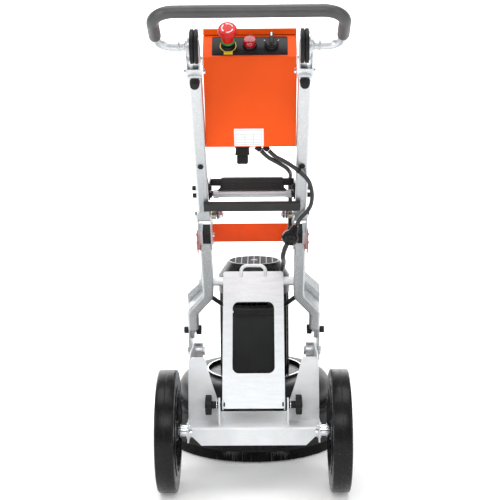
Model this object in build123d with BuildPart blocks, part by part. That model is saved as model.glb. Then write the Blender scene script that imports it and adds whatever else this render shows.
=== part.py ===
"""Walk-behind single-disc concrete grinder with a folding handle.

Row frame, millimetres: +X to the machine's right, +Y forwards (away from the operator), +Z up.
The origin is on the floor under the middle of the machine's bounding box.
"""
import math
import os

from build123d import *

os.makedirs("parts", exist_ok=True)

# ---------------------------------------------------------------- driving dimensions
AXLE_Y = -134.0          # wheel axle, measured from the origin
AXLE_Z = 150.0           # half of the 300 mm wheel
SPINDLE_Y = AXLE_Y + 427.0

TUBE_X = 117.0           # centre planes of the two frame tubes
TUBE_W = 28.0            # tube width across the machine
TUBE_D = 40.0            # tube depth
TUBE_WALL = 2.5
TUBE_CORNER = 6.0
TUBE_IN = TUBE_X - TUBE_W / 2
TUBE_OUT = TUBE_X + TUBE_W / 2

UPPER_LEAN = 40.0        # handle tubes, degrees from vertical, leaning back
LOWER_LEAN = 32.0        # frame tubes, degrees from vertical, leaning back
PIVOT = (AXLE_Y + 66.0, 675.0)       # fold axis, (y, z)
LOWER_TOP = (AXLE_Y + 87.0, 650.0)   # reference point on the frame tubes' centre line
KNOB_AXIS = (AXLE_Y + 10.0, 212.0)   # pivot screws of the rear plate
BUSH = (AXLE_Y + 288.0, 280.0)       # rubber bushes between side arms and chassis
HANDLEBAR_REACH = 140.0              # knuckle centre to the middle of the grip bar
HANDLEBAR_RISE = 27.7                # degrees above horizontal
HANDLEBAR_HALF = 193.5               # half spacing of the handlebar's sides
KNUCKLE_T = 518.0                    # knuckle centre, along the upper tube from the fold axis

MOTOR_R = 98.5
HOOD_TOP = 190.0
HOOD_R = 212.0
SKIRT_R = 245.0
DISC_R = 195.0
PLATE_FOOT = (AXLE_Y + 2.0, 205.0)   # lower edge of the rear plate's back face
PLATE_LEAN = 31.5        # rear plate, degrees from vertical, leaning forwards
PLATE_T = 3.0
GAP = 0.3                # clearance between pieces that only pass each other
FIT = 0.05               # radial clearance of shafts in bores
LEAD_R = 5.0             # radius of the rubber leads over the fold
MOTOR_LEAD_R = 6.0


def fwd(distance):
    """Y of a place that lies this far in front of the wheel axle."""
    return AXLE_Y + distance


def leaning_plane(y, z, lean):
    """Plane across the machine: local x is +X, local y climbs along the leaning tube."""
    a = math.radians(lean)
    return Plane(origin=(0, y, z), x_dir=(1, 0, 0), z_dir=(0, -math.cos(a), -math.sin(a)))


def write(builder, name):
    builder.part.label = name
    export_step(builder.part, f"parts/{name}.step")


UPPER = leaning_plane(PIVOT[0], PIVOT[1], UPPER_LEAN)
LOWER = leaning_plane(LOWER_TOP[0], LOWER_TOP[1], LOWER_LEAN)

plate_lean = math.radians(PLATE_LEAN)
PLATE = Plane(origin=(0, PLATE_FOOT[0], PLATE_FOOT[1]), x_dir=(1, 0, 0),
              z_dir=(0, -math.cos(plate_lean), math.sin(plate_lean)))


def on_upper(t, behind=0.0):
    """(y, z) of a point t along the handle tube's centre line and behind it."""
    p = UPPER.from_local_coords((0, t, behind))
    return p.Y, p.Z


def on_lower(s, behind=0.0):
    """(y, z) of a point s along the frame tube's centre line and behind it."""
    p = LOWER.from_local_coords((0, s, behind))
    return p.Y, p.Z


def along_upper(t, x=0.0):
    """Plane square to the handle tubes, its normal climbing along them."""
    y, z = on_upper(t)
    return Plane(origin=(x, y, z), x_dir=(1, 0, 0), z_dir=UPPER.y_dir)


def lower_s(z):
    """Distance along the frame tube's centre line at which it has this height."""
    return (z - LOWER_TOP[1]) / math.cos(math.radians(LOWER_LEAN))


# ---------------------------------------------------------------- frame tubes
TUBE_TOP_S = -49.0
TUBE_END_S = lower_s(357.0)
TUBE_END_X = 160.0       # tube centre plane below the outward bend
TAB_IN = 159.0           # flat tab that bolts to the side arm
TAB_OUT = 168.0
ARM_IN = 168.3           # side arm plate
ARM_T = 5.0
CROSS_R = 11.0
CROSS_S = 338.0          # height of the cross tube along the rear plate that leans on it

BLOCK_TOP_S = -17.0
LINK_BOLTS = [on_lower(-36), on_lower(-62)]
LINK_BOLT_R = 3.0
with BuildPart() as lower_tube_r:
    with BuildLine(LOWER) as tube_route:
        FilletPolyline((TUBE_X, TUBE_TOP_S), (TUBE_X, lower_s(452.0)),
                       (TUBE_END_X, lower_s(403.0)), (TUBE_END_X, TUBE_END_S), radius=34)
    route_top = Plane(origin=tube_route.line @ 0, x_dir=(1, 0, 0), z_dir=tube_route.line % 0)
    with BuildSketch(route_top):
        RectangleRounded(TUBE_W, TUBE_D, TUBE_CORNER)
        RectangleRounded(TUBE_W - 2 * TUBE_WALL, TUBE_D - 2 * TUBE_WALL,
                         TUBE_CORNER - TUBE_WALL, mode=Mode.SUBTRACT)
    sweep()
    route_end = Plane(origin=tube_route.line @ 1, x_dir=(1, 0, 0), z_dir=tube_route.line % 1)
    with BuildSketch(route_end):
        RectangleRounded(TUBE_W, TUBE_D, TUBE_CORNER)
    extrude(amount=4)
    with BuildSketch(LOWER):
        with Locations(((TAB_IN + TAB_OUT) / 2, TUBE_END_S - 20)):
            Rectangle(TAB_OUT - TAB_IN, 40)
    extrude(amount=15, both=True)
    with BuildSketch(Plane.YZ.offset(TAB_IN - 10)):
        with Locations(on_lower(TUBE_END_S - 22)):
            Circle(5.2)
    extrude(amount=30, mode=Mode.SUBTRACT)
    with BuildSketch(Plane.YZ.offset(TUBE_IN - 5)):
        with Locations(LINK_BOLTS[1]):
            Circle(LINK_BOLT_R + 0.1)
    extrude(amount=TUBE_W + 10, mode=Mode.SUBTRACT)
write(lower_tube_r, "lower_tube_r")

with BuildPart() as lower_tube_l:
    mirror(lower_tube_r.part, about=Plane.YZ)
write(lower_tube_l, "lower_tube_l")

with BuildPart() as end_blocks:
    with BuildSketch(LOWER) as block_sketch:
        with Locations((TUBE_X, (TUBE_TOP_S + GAP + BLOCK_TOP_S) / 2)):
            RectangleRounded(TUBE_W - 2, BLOCK_TOP_S - TUBE_TOP_S - GAP, 2)
    extrude(amount=19, both=True)
    with BuildSketch(Plane.YZ.offset(TUBE_IN)):
        with Locations(LINK_BOLTS[0]):
            Circle(LINK_BOLT_R + 0.1)
    extrude(amount=TUBE_W, mode=Mode.SUBTRACT)
    mirror(about=Plane.YZ)
write(end_blocks, "end_blocks")

cross_centre = PLATE.from_local_coords((0, CROSS_S, -PLATE_T - CROSS_R - GAP))
CROSS = (cross_centre.Y, cross_centre.Z)
with BuildPart() as cross_tube:
    with BuildSketch(Plane.YZ.offset(-TUBE_IN)):
        with Locations(CROSS):
            Circle(CROSS_R)
            Circle(CROSS_R - 2, mode=Mode.SUBTRACT)
    extrude(amount=2 * TUBE_IN)
write(cross_tube, "cross_tube")

# ---------------------------------------------------------------- fold joint
BRACKET_T = 3.0
BRACKET_OUT_X = TUBE_OUT + 0.2
BRACKET_IN_X = TUBE_IN - 0.2 - BRACKET_T
PIVOT_R = 6.0
LINK_FOOT = on_lower(-62.0)

with BuildPart() as fold_brackets:
    for start in (BRACKET_IN_X, BRACKET_OUT_X):
        with BuildSketch(Plane.YZ.offset(start)):
            with Locations(PIVOT):
                Circle(19)
            with Locations(LINK_FOOT):
                Circle(18)
            make_hull()
            with Locations(PIVOT):
                Circle(PIVOT_R + FIT, mode=Mode.SUBTRACT)
            with Locations(*LINK_BOLTS):
                Circle(LINK_BOLT_R + 0.1, mode=Mode.SUBTRACT)
        extrude(amount=BRACKET_T)
    mirror(about=Plane.YZ)
write(fold_brackets, "fold_brackets")

SPRING_X = 86.2
SPRING_LENGTH = 13.0
with BuildPart() as torsion_springs:
    with BuildSketch(Plane.YZ.offset(SPRING_X)):
        with Locations(PIVOT):
            Circle(11.5)
            Circle(8.8, mode=Mode.SUBTRACT)
    extrude(amount=SPRING_LENGTH)
    mirror(about=Plane.YZ)
write(torsion_springs, "torsion_springs")

# ---------------------------------------------------------------- latch lever
LATCH_ARM_X = 81.6
LATCH_ARM_T = 4.2
LATCH_HALF = 115.0
LATCH_BAR_D = 12.0
LATCH_BAR_H = 26.0
LATCH_T = 57.0           # height of the lever bar along the handle tubes
LATCH_BEHIND = TUBE_D / 2 + 0.6 + LATCH_BAR_D / 2

with BuildPart() as latch_lever:
    latch_plane = Plane(origin=UPPER.from_local_coords((-LATCH_HALF, LATCH_T, LATCH_BEHIND)),
                        x_dir=UPPER.z_dir, z_dir=(1, 0, 0))
    with BuildSketch(latch_plane):
        RectangleRounded(LATCH_BAR_D, LATCH_BAR_H, 3)
    extrude(amount=2 * LATCH_HALF)
    for start in (LATCH_ARM_X, -LATCH_ARM_X - LATCH_ARM_T):
        with BuildSketch(Plane.YZ.offset(start)):
            with Locations(PIVOT):
                Circle(11)
            with Locations(on_upper(LATCH_T - 4, LATCH_BEHIND - 4)):
                Circle(6)
            make_hull()
            with Locations(PIVOT):
                Circle(PIVOT_R + FIT, mode=Mode.SUBTRACT)
        extrude(amount=LATCH_ARM_T)
write(latch_lever, "latch_lever")

# ---------------------------------------------------------------- orange link band
BAND_T = 2.0
BAND_X = BRACKET_OUT_X + BRACKET_T + 0.2
BAND_FRONT = fwd(190.0)
BAND_REAR = fwd(66.0)
BAND_LOW = 589.0
BAND_HIGH = 636.0
BAND_CORNER = 55.0

with BuildPart() as link_band:
    with BuildSketch(Plane.XY.offset(BAND_LOW)):
        with BuildLine():
            band_route = FilletPolyline((BAND_X, BAND_REAR), (BAND_X, BAND_FRONT),
                                        (-BAND_X, BAND_FRONT), (-BAND_X, BAND_REAR),
                                        radius=BAND_CORNER)
            offset(band_route, amount=BAND_T, side=Side.RIGHT, closed=True)
        make_face()
    extrude(amount=BAND_HIGH - BAND_LOW)
    for start in (BAND_X, -BAND_X - BAND_T):
        with BuildSketch(Plane.YZ.offset(start)):
            with BuildLine():
                Polyline((BAND_REAR, BAND_LOW + 8), (BAND_REAR + 24, 574), (BAND_REAR + 62, 574),
                         (BAND_REAR + 69, BAND_LOW + 8), close=True)
            make_face()
        extrude(amount=BAND_T)
    with BuildSketch(Plane.YZ.offset(-BAND_X - 5)):
        with Locations(*LINK_BOLTS):
            Circle(LINK_BOLT_R + 0.1)
    extrude(amount=2 * BAND_X + 10, mode=Mode.SUBTRACT)
write(link_band, "link_band")

# ---------------------------------------------------------------- side arms
ARM_PAD_X = TUBE_OUT + 0.3
STRAP_NEAR = -21.0       # strap faces, measured behind the frame tube's centre line
STRAP_FAR = -58.0
WEB_T = 4.0
HOOD_FOOT = (fwd(396.0), fwd(462.0))

with BuildPart() as side_arm_r:
    # joggled strap in front of the frame tube
    with BuildSketch(LOWER.offset(STRAP_FAR)):
        with BuildLine():
            Polyline((ARM_PAD_X, lower_s(486.0)), (ARM_PAD_X, lower_s(467.0)),
                     (ARM_IN, lower_s(430.0)), (ARM_IN, lower_s(392.0)),
                     (ARM_IN + ARM_T, lower_s(392.0)), (ARM_IN + ARM_T, lower_s(432.0)),
                     (ARM_PAD_X + ARM_T, lower_s(469.0)), (ARM_PAD_X + ARM_T, lower_s(486.0)),
                     close=True)
        make_face()
    extrude(amount=STRAP_NEAR - STRAP_FAR)
    # web behind the frame tube's bend
    with BuildSketch(LOWER.offset(STRAP_NEAR - WEB_T)):
        with BuildLine():
            Polyline((ARM_PAD_X, lower_s(484.0)), (ARM_PAD_X, lower_s(467.0)),
                     (ARM_IN, lower_s(430.0)), (ARM_IN, lower_s(392.0)), (150, lower_s(392.0)),
                     (120, lower_s(440.0)), (120, lower_s(484.0)), close=True)
        make_face()
    extrude(amount=WEB_T)
    # pad beside the frame tube
    with BuildSketch(LOWER.offset(STRAP_NEAR)):
        with Locations((ARM_PAD_X + ARM_T / 2, lower_s(475.0))):
            Rectangle(ARM_T, 24)
    extrude(amount=33)
    # side plate down to the hood
    with BuildSketch(Plane.YZ.offset(ARM_IN)):
        with BuildLine():
            Polyline(on_lower(lower_s(415.0), STRAP_FAR), on_lower(lower_s(415.0), STRAP_NEAR),
                     on_lower(TUBE_END_S - 5, STRAP_NEAR), on_lower(TUBE_END_S - 5, 18),
                     (fwd(254), 268), (fwd(396), HOOD_TOP + 0.3), (fwd(462), HOOD_TOP + 0.3),
                     (fwd(462), 214), (fwd(350), 300), (fwd(322), 360), close=True)
        make_face()
        with Locations(BUSH):
            Circle(8.1, mode=Mode.SUBTRACT)
        with Locations(on_lower(TUBE_END_S - 22)):
            Circle(5.2, mode=Mode.SUBTRACT)
    extrude(amount=ARM_T)
    # foot on the hood
    with BuildSketch(Plane.XY.offset(HOOD_TOP + 0.3)):
        with Locations(((138 + ARM_IN + 1) / 2, sum(HOOD_FOOT) / 2)):
            RectangleRounded(ARM_IN + 1 - 138, HOOD_FOOT[1] - HOOD_FOOT[0], 4)
        with Locations((150, HOOD_FOOT[0] + 18), (150, HOOD_FOOT[1] - 18)):
            Circle(4.2, mode=Mode.SUBTRACT)
    extrude(amount=ARM_T)
write(side_arm_r, "side_arm_r")

with BuildPart() as side_arm_l:
    mirror(side_arm_r.part, about=Plane.YZ)
write(side_arm_l, "side_arm_l")

with BuildPart() as bushes:
    with BuildSketch(Plane.YZ.offset(138)):
        with Locations(BUSH):
            Circle(22)
            Circle(8, mode=Mode.SUBTRACT)
    extrude(amount=19.5)
    mirror(about=Plane.YZ)
write(bushes, "bushes")

STRUT_TUBE = Vector(124, fwd(248.8), 443)
STRUT_MOTOR = Vector(84, fwd(367), 387)
STRUT_AXIS = STRUT_MOTOR - STRUT_TUBE
with BuildPart() as motor_struts:
    with BuildSketch(Plane(origin=STRUT_TUBE, x_dir=(1, 0, 0), z_dir=STRUT_AXIS)):
        Circle(6)
    extrude(amount=STRUT_AXIS.length)
    mirror(about=Plane.YZ)
write(motor_struts, "motor_struts")

# ---------------------------------------------------------------- chassis
SHEET = 4.0
CHASSIS_X = 162.0        # outer faces of the side cheeks
DECK_TOP = 165.0
DECK_FRONT = fwd(110.0)
FLANGE_Y = fwd(-25.0)
FLANGE_X = 150.5
FLANGE_LOW = 120.0
FLANGE_CHAMFER = 23.0
EAR_FOOT = (fwd(32.0), 163.0)
EAR_LEAN = 10.0
EAR_LENGTH = 159.0
AXLE_R = 10.0
TAB_X = 82.0             # inner faces of the knob tabs
SCREW_R = 5.0

ear_lean = math.radians(EAR_LEAN)
EAR = Plane(origin=(0, EAR_FOOT[0], EAR_FOOT[1]), x_dir=(1, 0, 0),
            z_dir=(0, -math.cos(ear_lean), math.sin(ear_lean)))

with BuildPart() as chassis:
    with BuildSketch(Plane.XZ.offset(-FLANGE_Y)):
        with BuildLine():
            Polyline((-FLANGE_X, DECK_TOP), (-FLANGE_X, FLANGE_LOW + FLANGE_CHAMFER),
                     (-FLANGE_X + FLANGE_CHAMFER, FLANGE_LOW),
                     (FLANGE_X - FLANGE_CHAMFER, FLANGE_LOW),
                     (FLANGE_X, FLANGE_LOW + FLANGE_CHAMFER), (FLANGE_X, DECK_TOP), close=True)
        make_face()
    extrude(amount=-SHEET)
    with BuildSketch(Plane.XY.offset(DECK_TOP - SHEET)):
        with Locations((0, (FLANGE_Y + DECK_FRONT) / 2)):
            Rectangle(2 * CHASSIS_X - 8, DECK_FRONT - FLANGE_Y)
    extrude(amount=SHEET)
    fillet(chassis.edges().filter_by(Axis.X).group_by(Axis.Y)[0].sort_by(Axis.Z)[-1], radius=7)
    for side in (1, -1):
        with BuildSketch(EAR):
            with BuildLine():
                Polyline((side * CHASSIS_X, 0), (side * CHASSIS_X, EAR_LENGTH - 14),
                         (side * (CHASSIS_X - 8), EAR_LENGTH), (side * 124, EAR_LENGTH),
                         (side * 119, EAR_LENGTH - 7), (side * 105, 99), (side * 90, 55),
                         (side * 74, 0), close=True)
            make_face()
        extrude(amount=-SHEET)
        cheek_start = CHASSIS_X - SHEET if side == 1 else -CHASSIS_X
        with BuildSketch(Plane.YZ.offset(cheek_start)):
            with BuildLine():
                Polyline((fwd(-24), 158), (fwd(-16), DECK_TOP + 8), (fwd(33), DECK_TOP + 6),
                         (fwd(57), 306), (fwd(104), 318), (fwd(278), 304), (fwd(312), 292),
                         (fwd(312), 268), (fwd(230), 205), (fwd(110), 161), (fwd(24), 161),
                         (fwd(24), 126), (fwd(-24), 126), close=True)
            make_face()
            with Locations(BUSH):
                Circle(8.1, mode=Mode.SUBTRACT)
            with Locations((AXLE_Y, AXLE_Z)):
                Circle(AXLE_R + FIT, mode=Mode.SUBTRACT)
        extrude(amount=SHEET)
        tab_start = TAB_X if side == 1 else -TAB_X - SHEET
        with BuildSketch(Plane.YZ.offset(tab_start)):
            with BuildLine():
                Polyline((fwd(-8), DECK_TOP - 1), (fwd(-3), 222), (fwd(3), 228), (fwd(17), 228),
                         (fwd(23), 222), (fwd(28), DECK_TOP - 1), close=True)
            make_face()
            with Locations(KNOB_AXIS):
                Circle(SCREW_R + FIT, mode=Mode.SUBTRACT)
        extrude(amount=SHEET)
write(chassis, "chassis")

WHEEL_IN = 186.0
WHEEL_OUT = 232.0
with BuildPart() as axle:
    with BuildSketch(Plane.YZ.offset(-WHEEL_OUT)):
        with Locations((AXLE_Y, AXLE_Z)):
            Circle(AXLE_R)
    extrude(amount=2 * WHEEL_OUT)
write(axle, "axle")

# ---------------------------------------------------------------- wheels
RIM_R = 105.0
HUB_R = 24.0


def wheel_profile_plane():
    return Plane(origin=(0, AXLE_Y, AXLE_Z), x_dir=(1, 0, 0), z_dir=(0, -1, 0))


WHEEL_AXIS = Axis((0, AXLE_Y, AXLE_Z), (1, 0, 0))

with BuildPart() as tyre_r:
    with BuildSketch(wheel_profile_plane()) as tyre_section:
        with BuildLine():
            Polyline((WHEEL_IN, RIM_R), (WHEEL_OUT, RIM_R), (WHEEL_OUT, AXLE_Z),
                     (WHEEL_IN, AXLE_Z), close=True)
        make_face()
        fillet(tyre_section.vertices().group_by(Axis.Z)[-1], radius=7)
    revolve(axis=WHEEL_AXIS)
write(tyre_r, "tyre_r")

with BuildPart() as rim_r:
    with BuildSketch(wheel_profile_plane()):
        with BuildLine():
            Polyline((167, AXLE_R + FIT), (234, AXLE_R + FIT), (234, HUB_R - 4), (230, HUB_R),
                     (216, HUB_R + 4), (214, 60), (222, 84), (224, 97), (234, 98), (234, 110),
                     (232.2, 110), (232.2, RIM_R - GAP), (185.8, RIM_R - GAP), (185.8, 110),
                     (184, 110), (184, 98), (192, 97), (194, 84), (204, 60), (204, HUB_R + 4),
                     (180, HUB_R), (167, HUB_R - 4), close=True)
        make_face()
    revolve(axis=WHEEL_AXIS)
write(rim_r, "rim_r")

with BuildPart() as tyre_l:
    mirror(tyre_r.part, about=Plane.YZ)
write(tyre_l, "tyre_l")

with BuildPart() as rim_l:
    mirror(rim_r.part, about=Plane.YZ)
write(rim_l, "rim_l")

# ---------------------------------------------------------------- rear plate and its knobs
PLATE_HALF = 77.0
PLATE_LENGTH = 360.0
WINDOW_W = 105.0
WINDOW_S = (89.0, 277.0)
PLATE_FLANGE = 20.0
FLANGE_S = 285.0
LOOP_HALF = 31.0
LOOP_RISE = 16.5
LOOP_R = 4.5

with BuildPart() as rear_plate:
    with BuildSketch(PLATE):
        with Locations((0, PLATE_LENGTH / 2)):
            RectangleRounded(2 * PLATE_HALF, PLATE_LENGTH, 7)
        with Locations((0, sum(WINDOW_S) / 2)):
            RectangleRounded(WINDOW_W, WINDOW_S[1] - WINDOW_S[0], 16, mode=Mode.SUBTRACT)
    extrude(amount=-PLATE_T)
    with BuildSketch(Plane.YZ.offset(PLATE_HALF - 7)):
        with Locations(KNOB_AXIS):
            Circle(SCREW_R + 1)
    extrude(amount=8, mode=Mode.SUBTRACT)
    with BuildSketch(Plane.YZ.offset(-PLATE_HALF - 1)):
        with Locations(KNOB_AXIS):
            Circle(SCREW_R + 1)
    extrude(amount=8, mode=Mode.SUBTRACT)
    for start in (PLATE_HALF - PLATE_T, -PLATE_HALF):
        with BuildSketch(Plane.YZ.offset(start)):
            foot = PLATE.from_local_coords((0, 8, -1))
            top = PLATE.from_local_coords((0, FLANGE_S, -1))
            top_front = PLATE.from_local_coords((0, FLANGE_S - 12, -PLATE_FLANGE))
            foot_front = PLATE.from_local_coords((0, 14, -PLATE_FLANGE))
            with BuildLine():
                Polyline((foot.Y, foot.Z), (top.Y, top.Z), (top_front.Y, top_front.Z),
                         (foot_front.Y, foot_front.Z), close=True)
            make_face()
            with Locations(KNOB_AXIS):
                Circle(13)
            with Locations(KNOB_AXIS):
                Circle(SCREW_R + FIT, mode=Mode.SUBTRACT)
        extrude(amount=PLATE_T)
    with BuildLine(PLATE.offset(-PLATE_T / 2)) as loop_route:
        FilletPolyline((-LOOP_HALF, PLATE_LENGTH - 14), (-LOOP_HALF, PLATE_LENGTH + LOOP_RISE),
                       (LOOP_HALF, PLATE_LENGTH + LOOP_RISE), (LOOP_HALF, PLATE_LENGTH - 14),
                       radius=16)
    with BuildSketch(Plane(origin=loop_route.line @ 0, z_dir=loop_route.line % 0)):
        Circle(LOOP_R)
    sweep()
write(rear_plate, "rear_plate")

KNOB_HEAD_X = 103.0
KNOB_HEAD_T = 15.0
KNOB_HEAD_R = 24.5
SCREW_TIP_X = 72.0
with BuildPart() as plate_knob_r:
    with BuildSketch(Plane.YZ.offset(KNOB_HEAD_X)) as knob_sketch:
        with Locations(KNOB_AXIS):
            Circle(KNOB_HEAD_R)
            with PolarLocations(KNOB_HEAD_R + 3.5, 8):
                Circle(6, mode=Mode.SUBTRACT)
    extrude(amount=KNOB_HEAD_T)
    fillet(plate_knob_r.faces().filter_by(Axis.X).edges(), radius=2)
    with BuildSketch(Plane.YZ.offset(TAB_X + SHEET + GAP)):
        with Locations(KNOB_AXIS):
            Circle(9)
    extrude(amount=KNOB_HEAD_X + 1 - TAB_X - SHEET - GAP)
    with BuildSketch(Plane.YZ.offset(SCREW_TIP_X)):
        with Locations(KNOB_AXIS):
            Circle(SCREW_R)
    extrude(amount=KNOB_HEAD_X - SCREW_TIP_X)
write(plate_knob_r, "plate_knob_r")

with BuildPart() as plate_knob_l:
    mirror(plate_knob_r.part, about=Plane.YZ)
write(plate_knob_l, "plate_knob_l")

# ---------------------------------------------------------------- grinding head
HOOD_T = 3.0
COLLAR_R = 133.0
COLLAR_TOP = 196.0
MOTOR_SEAT = 176.0
WALL_R = 206.0
WALL_LOW = 60.0
PORT_Y = SPINDLE_Y + 166.0
PORT_R = 25.0
PORT_LOW = 140.0
PORT_STEP = 205.0
PORT_TOP = 262.0

SPINDLE = Axis((0, SPINDLE_Y, 0), (0, 0, 1))
SECTION = Plane(origin=(0, SPINDLE_Y, 0), x_dir=(1, 0, 0), z_dir=(0, -1, 0))

with BuildPart() as hood:
    with BuildSketch(SECTION):
        with BuildLine():
            hood_deck = Line((COLLAR_R + 0.2, HOOD_TOP), (166, HOOD_TOP))
            hood_dome = TangentArc(hood_deck @ 1, (HOOD_R, 136), tangent=hood_deck % 1)
            Polyline(hood_dome @ 1, (HOOD_R, 131), (WALL_R, 131), (WALL_R, WALL_LOW),
                     (WALL_R - HOOD_T, WALL_LOW), (WALL_R - HOOD_T, 136))
            inner_dome = TangentArc((166, HOOD_TOP - HOOD_T), (WALL_R - HOOD_T, 136),
                                    tangent=(1, 0))
            Polyline(inner_dome @ 0, (COLLAR_R + 0.2, HOOD_TOP - HOOD_T), hood_deck @ 0)
        make_face()
    revolve(axis=SPINDLE)
    with BuildSketch(Plane.XY.offset(135)):
        with Locations((0, PORT_Y)):
            Circle(PORT_R + 3.2)
    extrude(amount=80, mode=Mode.SUBTRACT)
write(hood, "hood")

with BuildPart() as hood_collar:
    with BuildSketch(SECTION):
        with BuildLine():
            Polyline((92, MOTOR_SEAT - 5), (COLLAR_R, MOTOR_SEAT - 5), (COLLAR_R, COLLAR_TOP),
                     (COLLAR_R - 3, COLLAR_TOP), (COLLAR_R - 3, MOTOR_SEAT), (92, MOTOR_SEAT),
                     close=True)
        make_face()
    revolve(axis=SPINDLE)
write(hood_collar, "hood_collar")

with BuildPart() as dust_port:
    with BuildSketch(Plane.XY.offset(PORT_LOW)):
        with Locations((0, PORT_Y)):
            Circle(PORT_R + 3)
            Circle(PORT_R - 2, mode=Mode.SUBTRACT)
    extrude(amount=PORT_STEP - PORT_LOW)
    with BuildSketch(Plane.XY.offset(PORT_STEP)):
        with Locations((0, PORT_Y)):
            Circle(PORT_R)
            Circle(PORT_R - 2, mode=Mode.SUBTRACT)
    extrude(amount=PORT_TOP - PORT_STEP)
write(dust_port, "dust_port")

with BuildPart() as skirt_shell:
    with BuildSketch(SECTION):
        with BuildLine():
            Polyline((WALL_R + 2, 118), (SKIRT_R - 8, 118), (SKIRT_R, 110), (SKIRT_R, 30),
                     (SKIRT_R - 8, 30), (SKIRT_R - 8, 33), (SKIRT_R - 3, 33), (SKIRT_R - 3, 109),
                     (SKIRT_R - 9, 115), (WALL_R + 2, 115), close=True)
        make_face()
    revolve(axis=SPINDLE)
write(skirt_shell, "skirt_shell")

with BuildPart() as skirt_brush:
    with BuildSketch(SECTION):
        with BuildLine():
            Polyline((SKIRT_R - 8, 0.4), (SKIRT_R, 0.4), (SKIRT_R, 29.8), (SKIRT_R - 8, 29.8),
                     close=True)
        make_face()
    revolve(axis=SPINDLE)
write(skirt_brush, "skirt_brush")

with BuildPart() as grinding_disc:
    with BuildSketch(Plane.XY.offset(20)):
        with Locations((0, SPINDLE_Y)):
            Circle(DISC_R)
            with PolarLocations(130, 6):
                SlotCenterToCenter(44, 18, rotation=90, mode=Mode.SUBTRACT)
    extrude(amount=8)
    with BuildSketch(Plane.XY.offset(28)):
        with Locations((0, SPINDLE_Y)):
            Circle(45)
    extrude(amount=22)
write(grinding_disc, "grinding_disc")

with BuildPart() as tool_segments:
    with BuildSketch(Plane.XY):
        with Locations((0, SPINDLE_Y)):
            with PolarLocations(168, 12):
                RectangleRounded(34, 22, 5)
    extrude(amount=19.8)
write(tool_segments, "tool_segments")

# ---------------------------------------------------------------- motor
BODY_LOW = MOTOR_SEAT + 0.2
BODY_HIGH = 430.0
CORE_R = 86.0
FIN_R = 96.0
BORE_R = 78.0
SHAFT_R = 17.5 - FIT

with BuildPart() as motor_body:
    with BuildSketch(Plane.XY.offset(BODY_LOW)):
        with Locations((0, SPINDLE_Y)):
            Circle(125)
            Circle(BORE_R, mode=Mode.SUBTRACT)
            with PolarLocations(114, 4, start_angle=45):
                Circle(6.5, mode=Mode.SUBTRACT)
    extrude(amount=11)
    with BuildSketch(Plane.XY.offset(BODY_LOW + 10)):
        with Locations((0, SPINDLE_Y)):
            Circle(CORE_R)
            Circle(BORE_R, mode=Mode.SUBTRACT)
            with PolarLocations((CORE_R + FIN_R) / 2 - 1, 40, start_angle=4.5):
                Rectangle(FIN_R - CORE_R + 2, 3)
    extrude(amount=BODY_HIGH - BODY_LOW - 10)
    with BuildSketch(Plane.XY.offset(BODY_HIGH - 6)):
        with Locations((0, SPINDLE_Y)):
            Circle(FIN_R - 4)
            Circle(SHAFT_R + 0.4, mode=Mode.SUBTRACT)
    extrude(amount=6)
write(motor_body, "motor_body")

with BuildPart() as stator:
    with BuildSketch(Plane.XY.offset(230)):
        with Locations((0, SPINDLE_Y)):
            Circle(BORE_R - 0.2)
            Circle(46, mode=Mode.SUBTRACT)
            with PolarLocations(56, 24):
                Rectangle(14, 6, mode=Mode.SUBTRACT)
    extrude(amount=150)
write(stator, "stator")

BEARING_R = 36.0
with BuildPart() as motor_bearings:
    for low in (MOTOR_SEAT + 24, BODY_HIGH - 24):
        with BuildSketch(Plane.XY.offset(low)):
            with Locations((0, SPINDLE_Y)):
                Circle(BEARING_R)
                Circle(17.5, mode=Mode.SUBTRACT)
        extrude(amount=17)
write(motor_bearings, "motor_bearings")

FAN_LOW = 446.0
with BuildPart() as rotor_shaft:
    with BuildSketch(Plane.XY.offset(50.2)):
        with Locations((0, SPINDLE_Y)):
            Circle(SHAFT_R)
    extrude(amount=418)
    with BuildSketch(Plane.XY.offset(235)):
        with Locations((0, SPINDLE_Y)):
            Circle(45)
    extrude(amount=140)
write(rotor_shaft, "rotor_shaft")

with BuildPart() as cooling_fan:
    with BuildSketch(Plane.XY.offset(FAN_LOW)):
        with Locations((0, SPINDLE_Y)):
            Circle(60)
            Circle(SHAFT_R + 0.02, mode=Mode.SUBTRACT)
    extrude(amount=3)
    with BuildSketch(Plane.XY.offset(FAN_LOW + 2)):
        with Locations((0, SPINDLE_Y)):
            Circle(26)
            Circle(SHAFT_R + 0.02, mode=Mode.SUBTRACT)
            with PolarLocations(50, 8):
                Rectangle(50, 3)
    extrude(amount=18)
write(cooling_fan, "cooling_fan")

COVER_TOP = 501.0
GRILLE_R = 72.0
with BuildPart() as fan_cover:
    with BuildSketch(SECTION):
        with BuildLine():
            Polyline((MOTOR_R, BODY_HIGH - 14), (MOTOR_R, 462), (GRILLE_R, COVER_TOP),
                     (0, COVER_TOP), (0, COVER_TOP - 3), (GRILLE_R - 1.5, COVER_TOP - 3),
                     (FIN_R + GAP, 461), (FIN_R + GAP, BODY_HIGH - 14), close=True)
        make_face()
    revolve(axis=SPINDLE)
    with BuildSketch(Plane.XY.offset(COVER_TOP - 4)):
        with Locations((0, SPINDLE_Y)):
            Circle(GRILLE_R - 5)
            with GridLocations(17, 200, 9, 1):
                Rectangle(3, 150, mode=Mode.SUBTRACT)
            with GridLocations(200, 17, 1, 9):
                Rectangle(150, 3, mode=Mode.SUBTRACT)
            Circle(12, mode=Mode.SUBTRACT)
    extrude(amount=6, mode=Mode.SUBTRACT)
write(fan_cover, "fan_cover")

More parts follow.
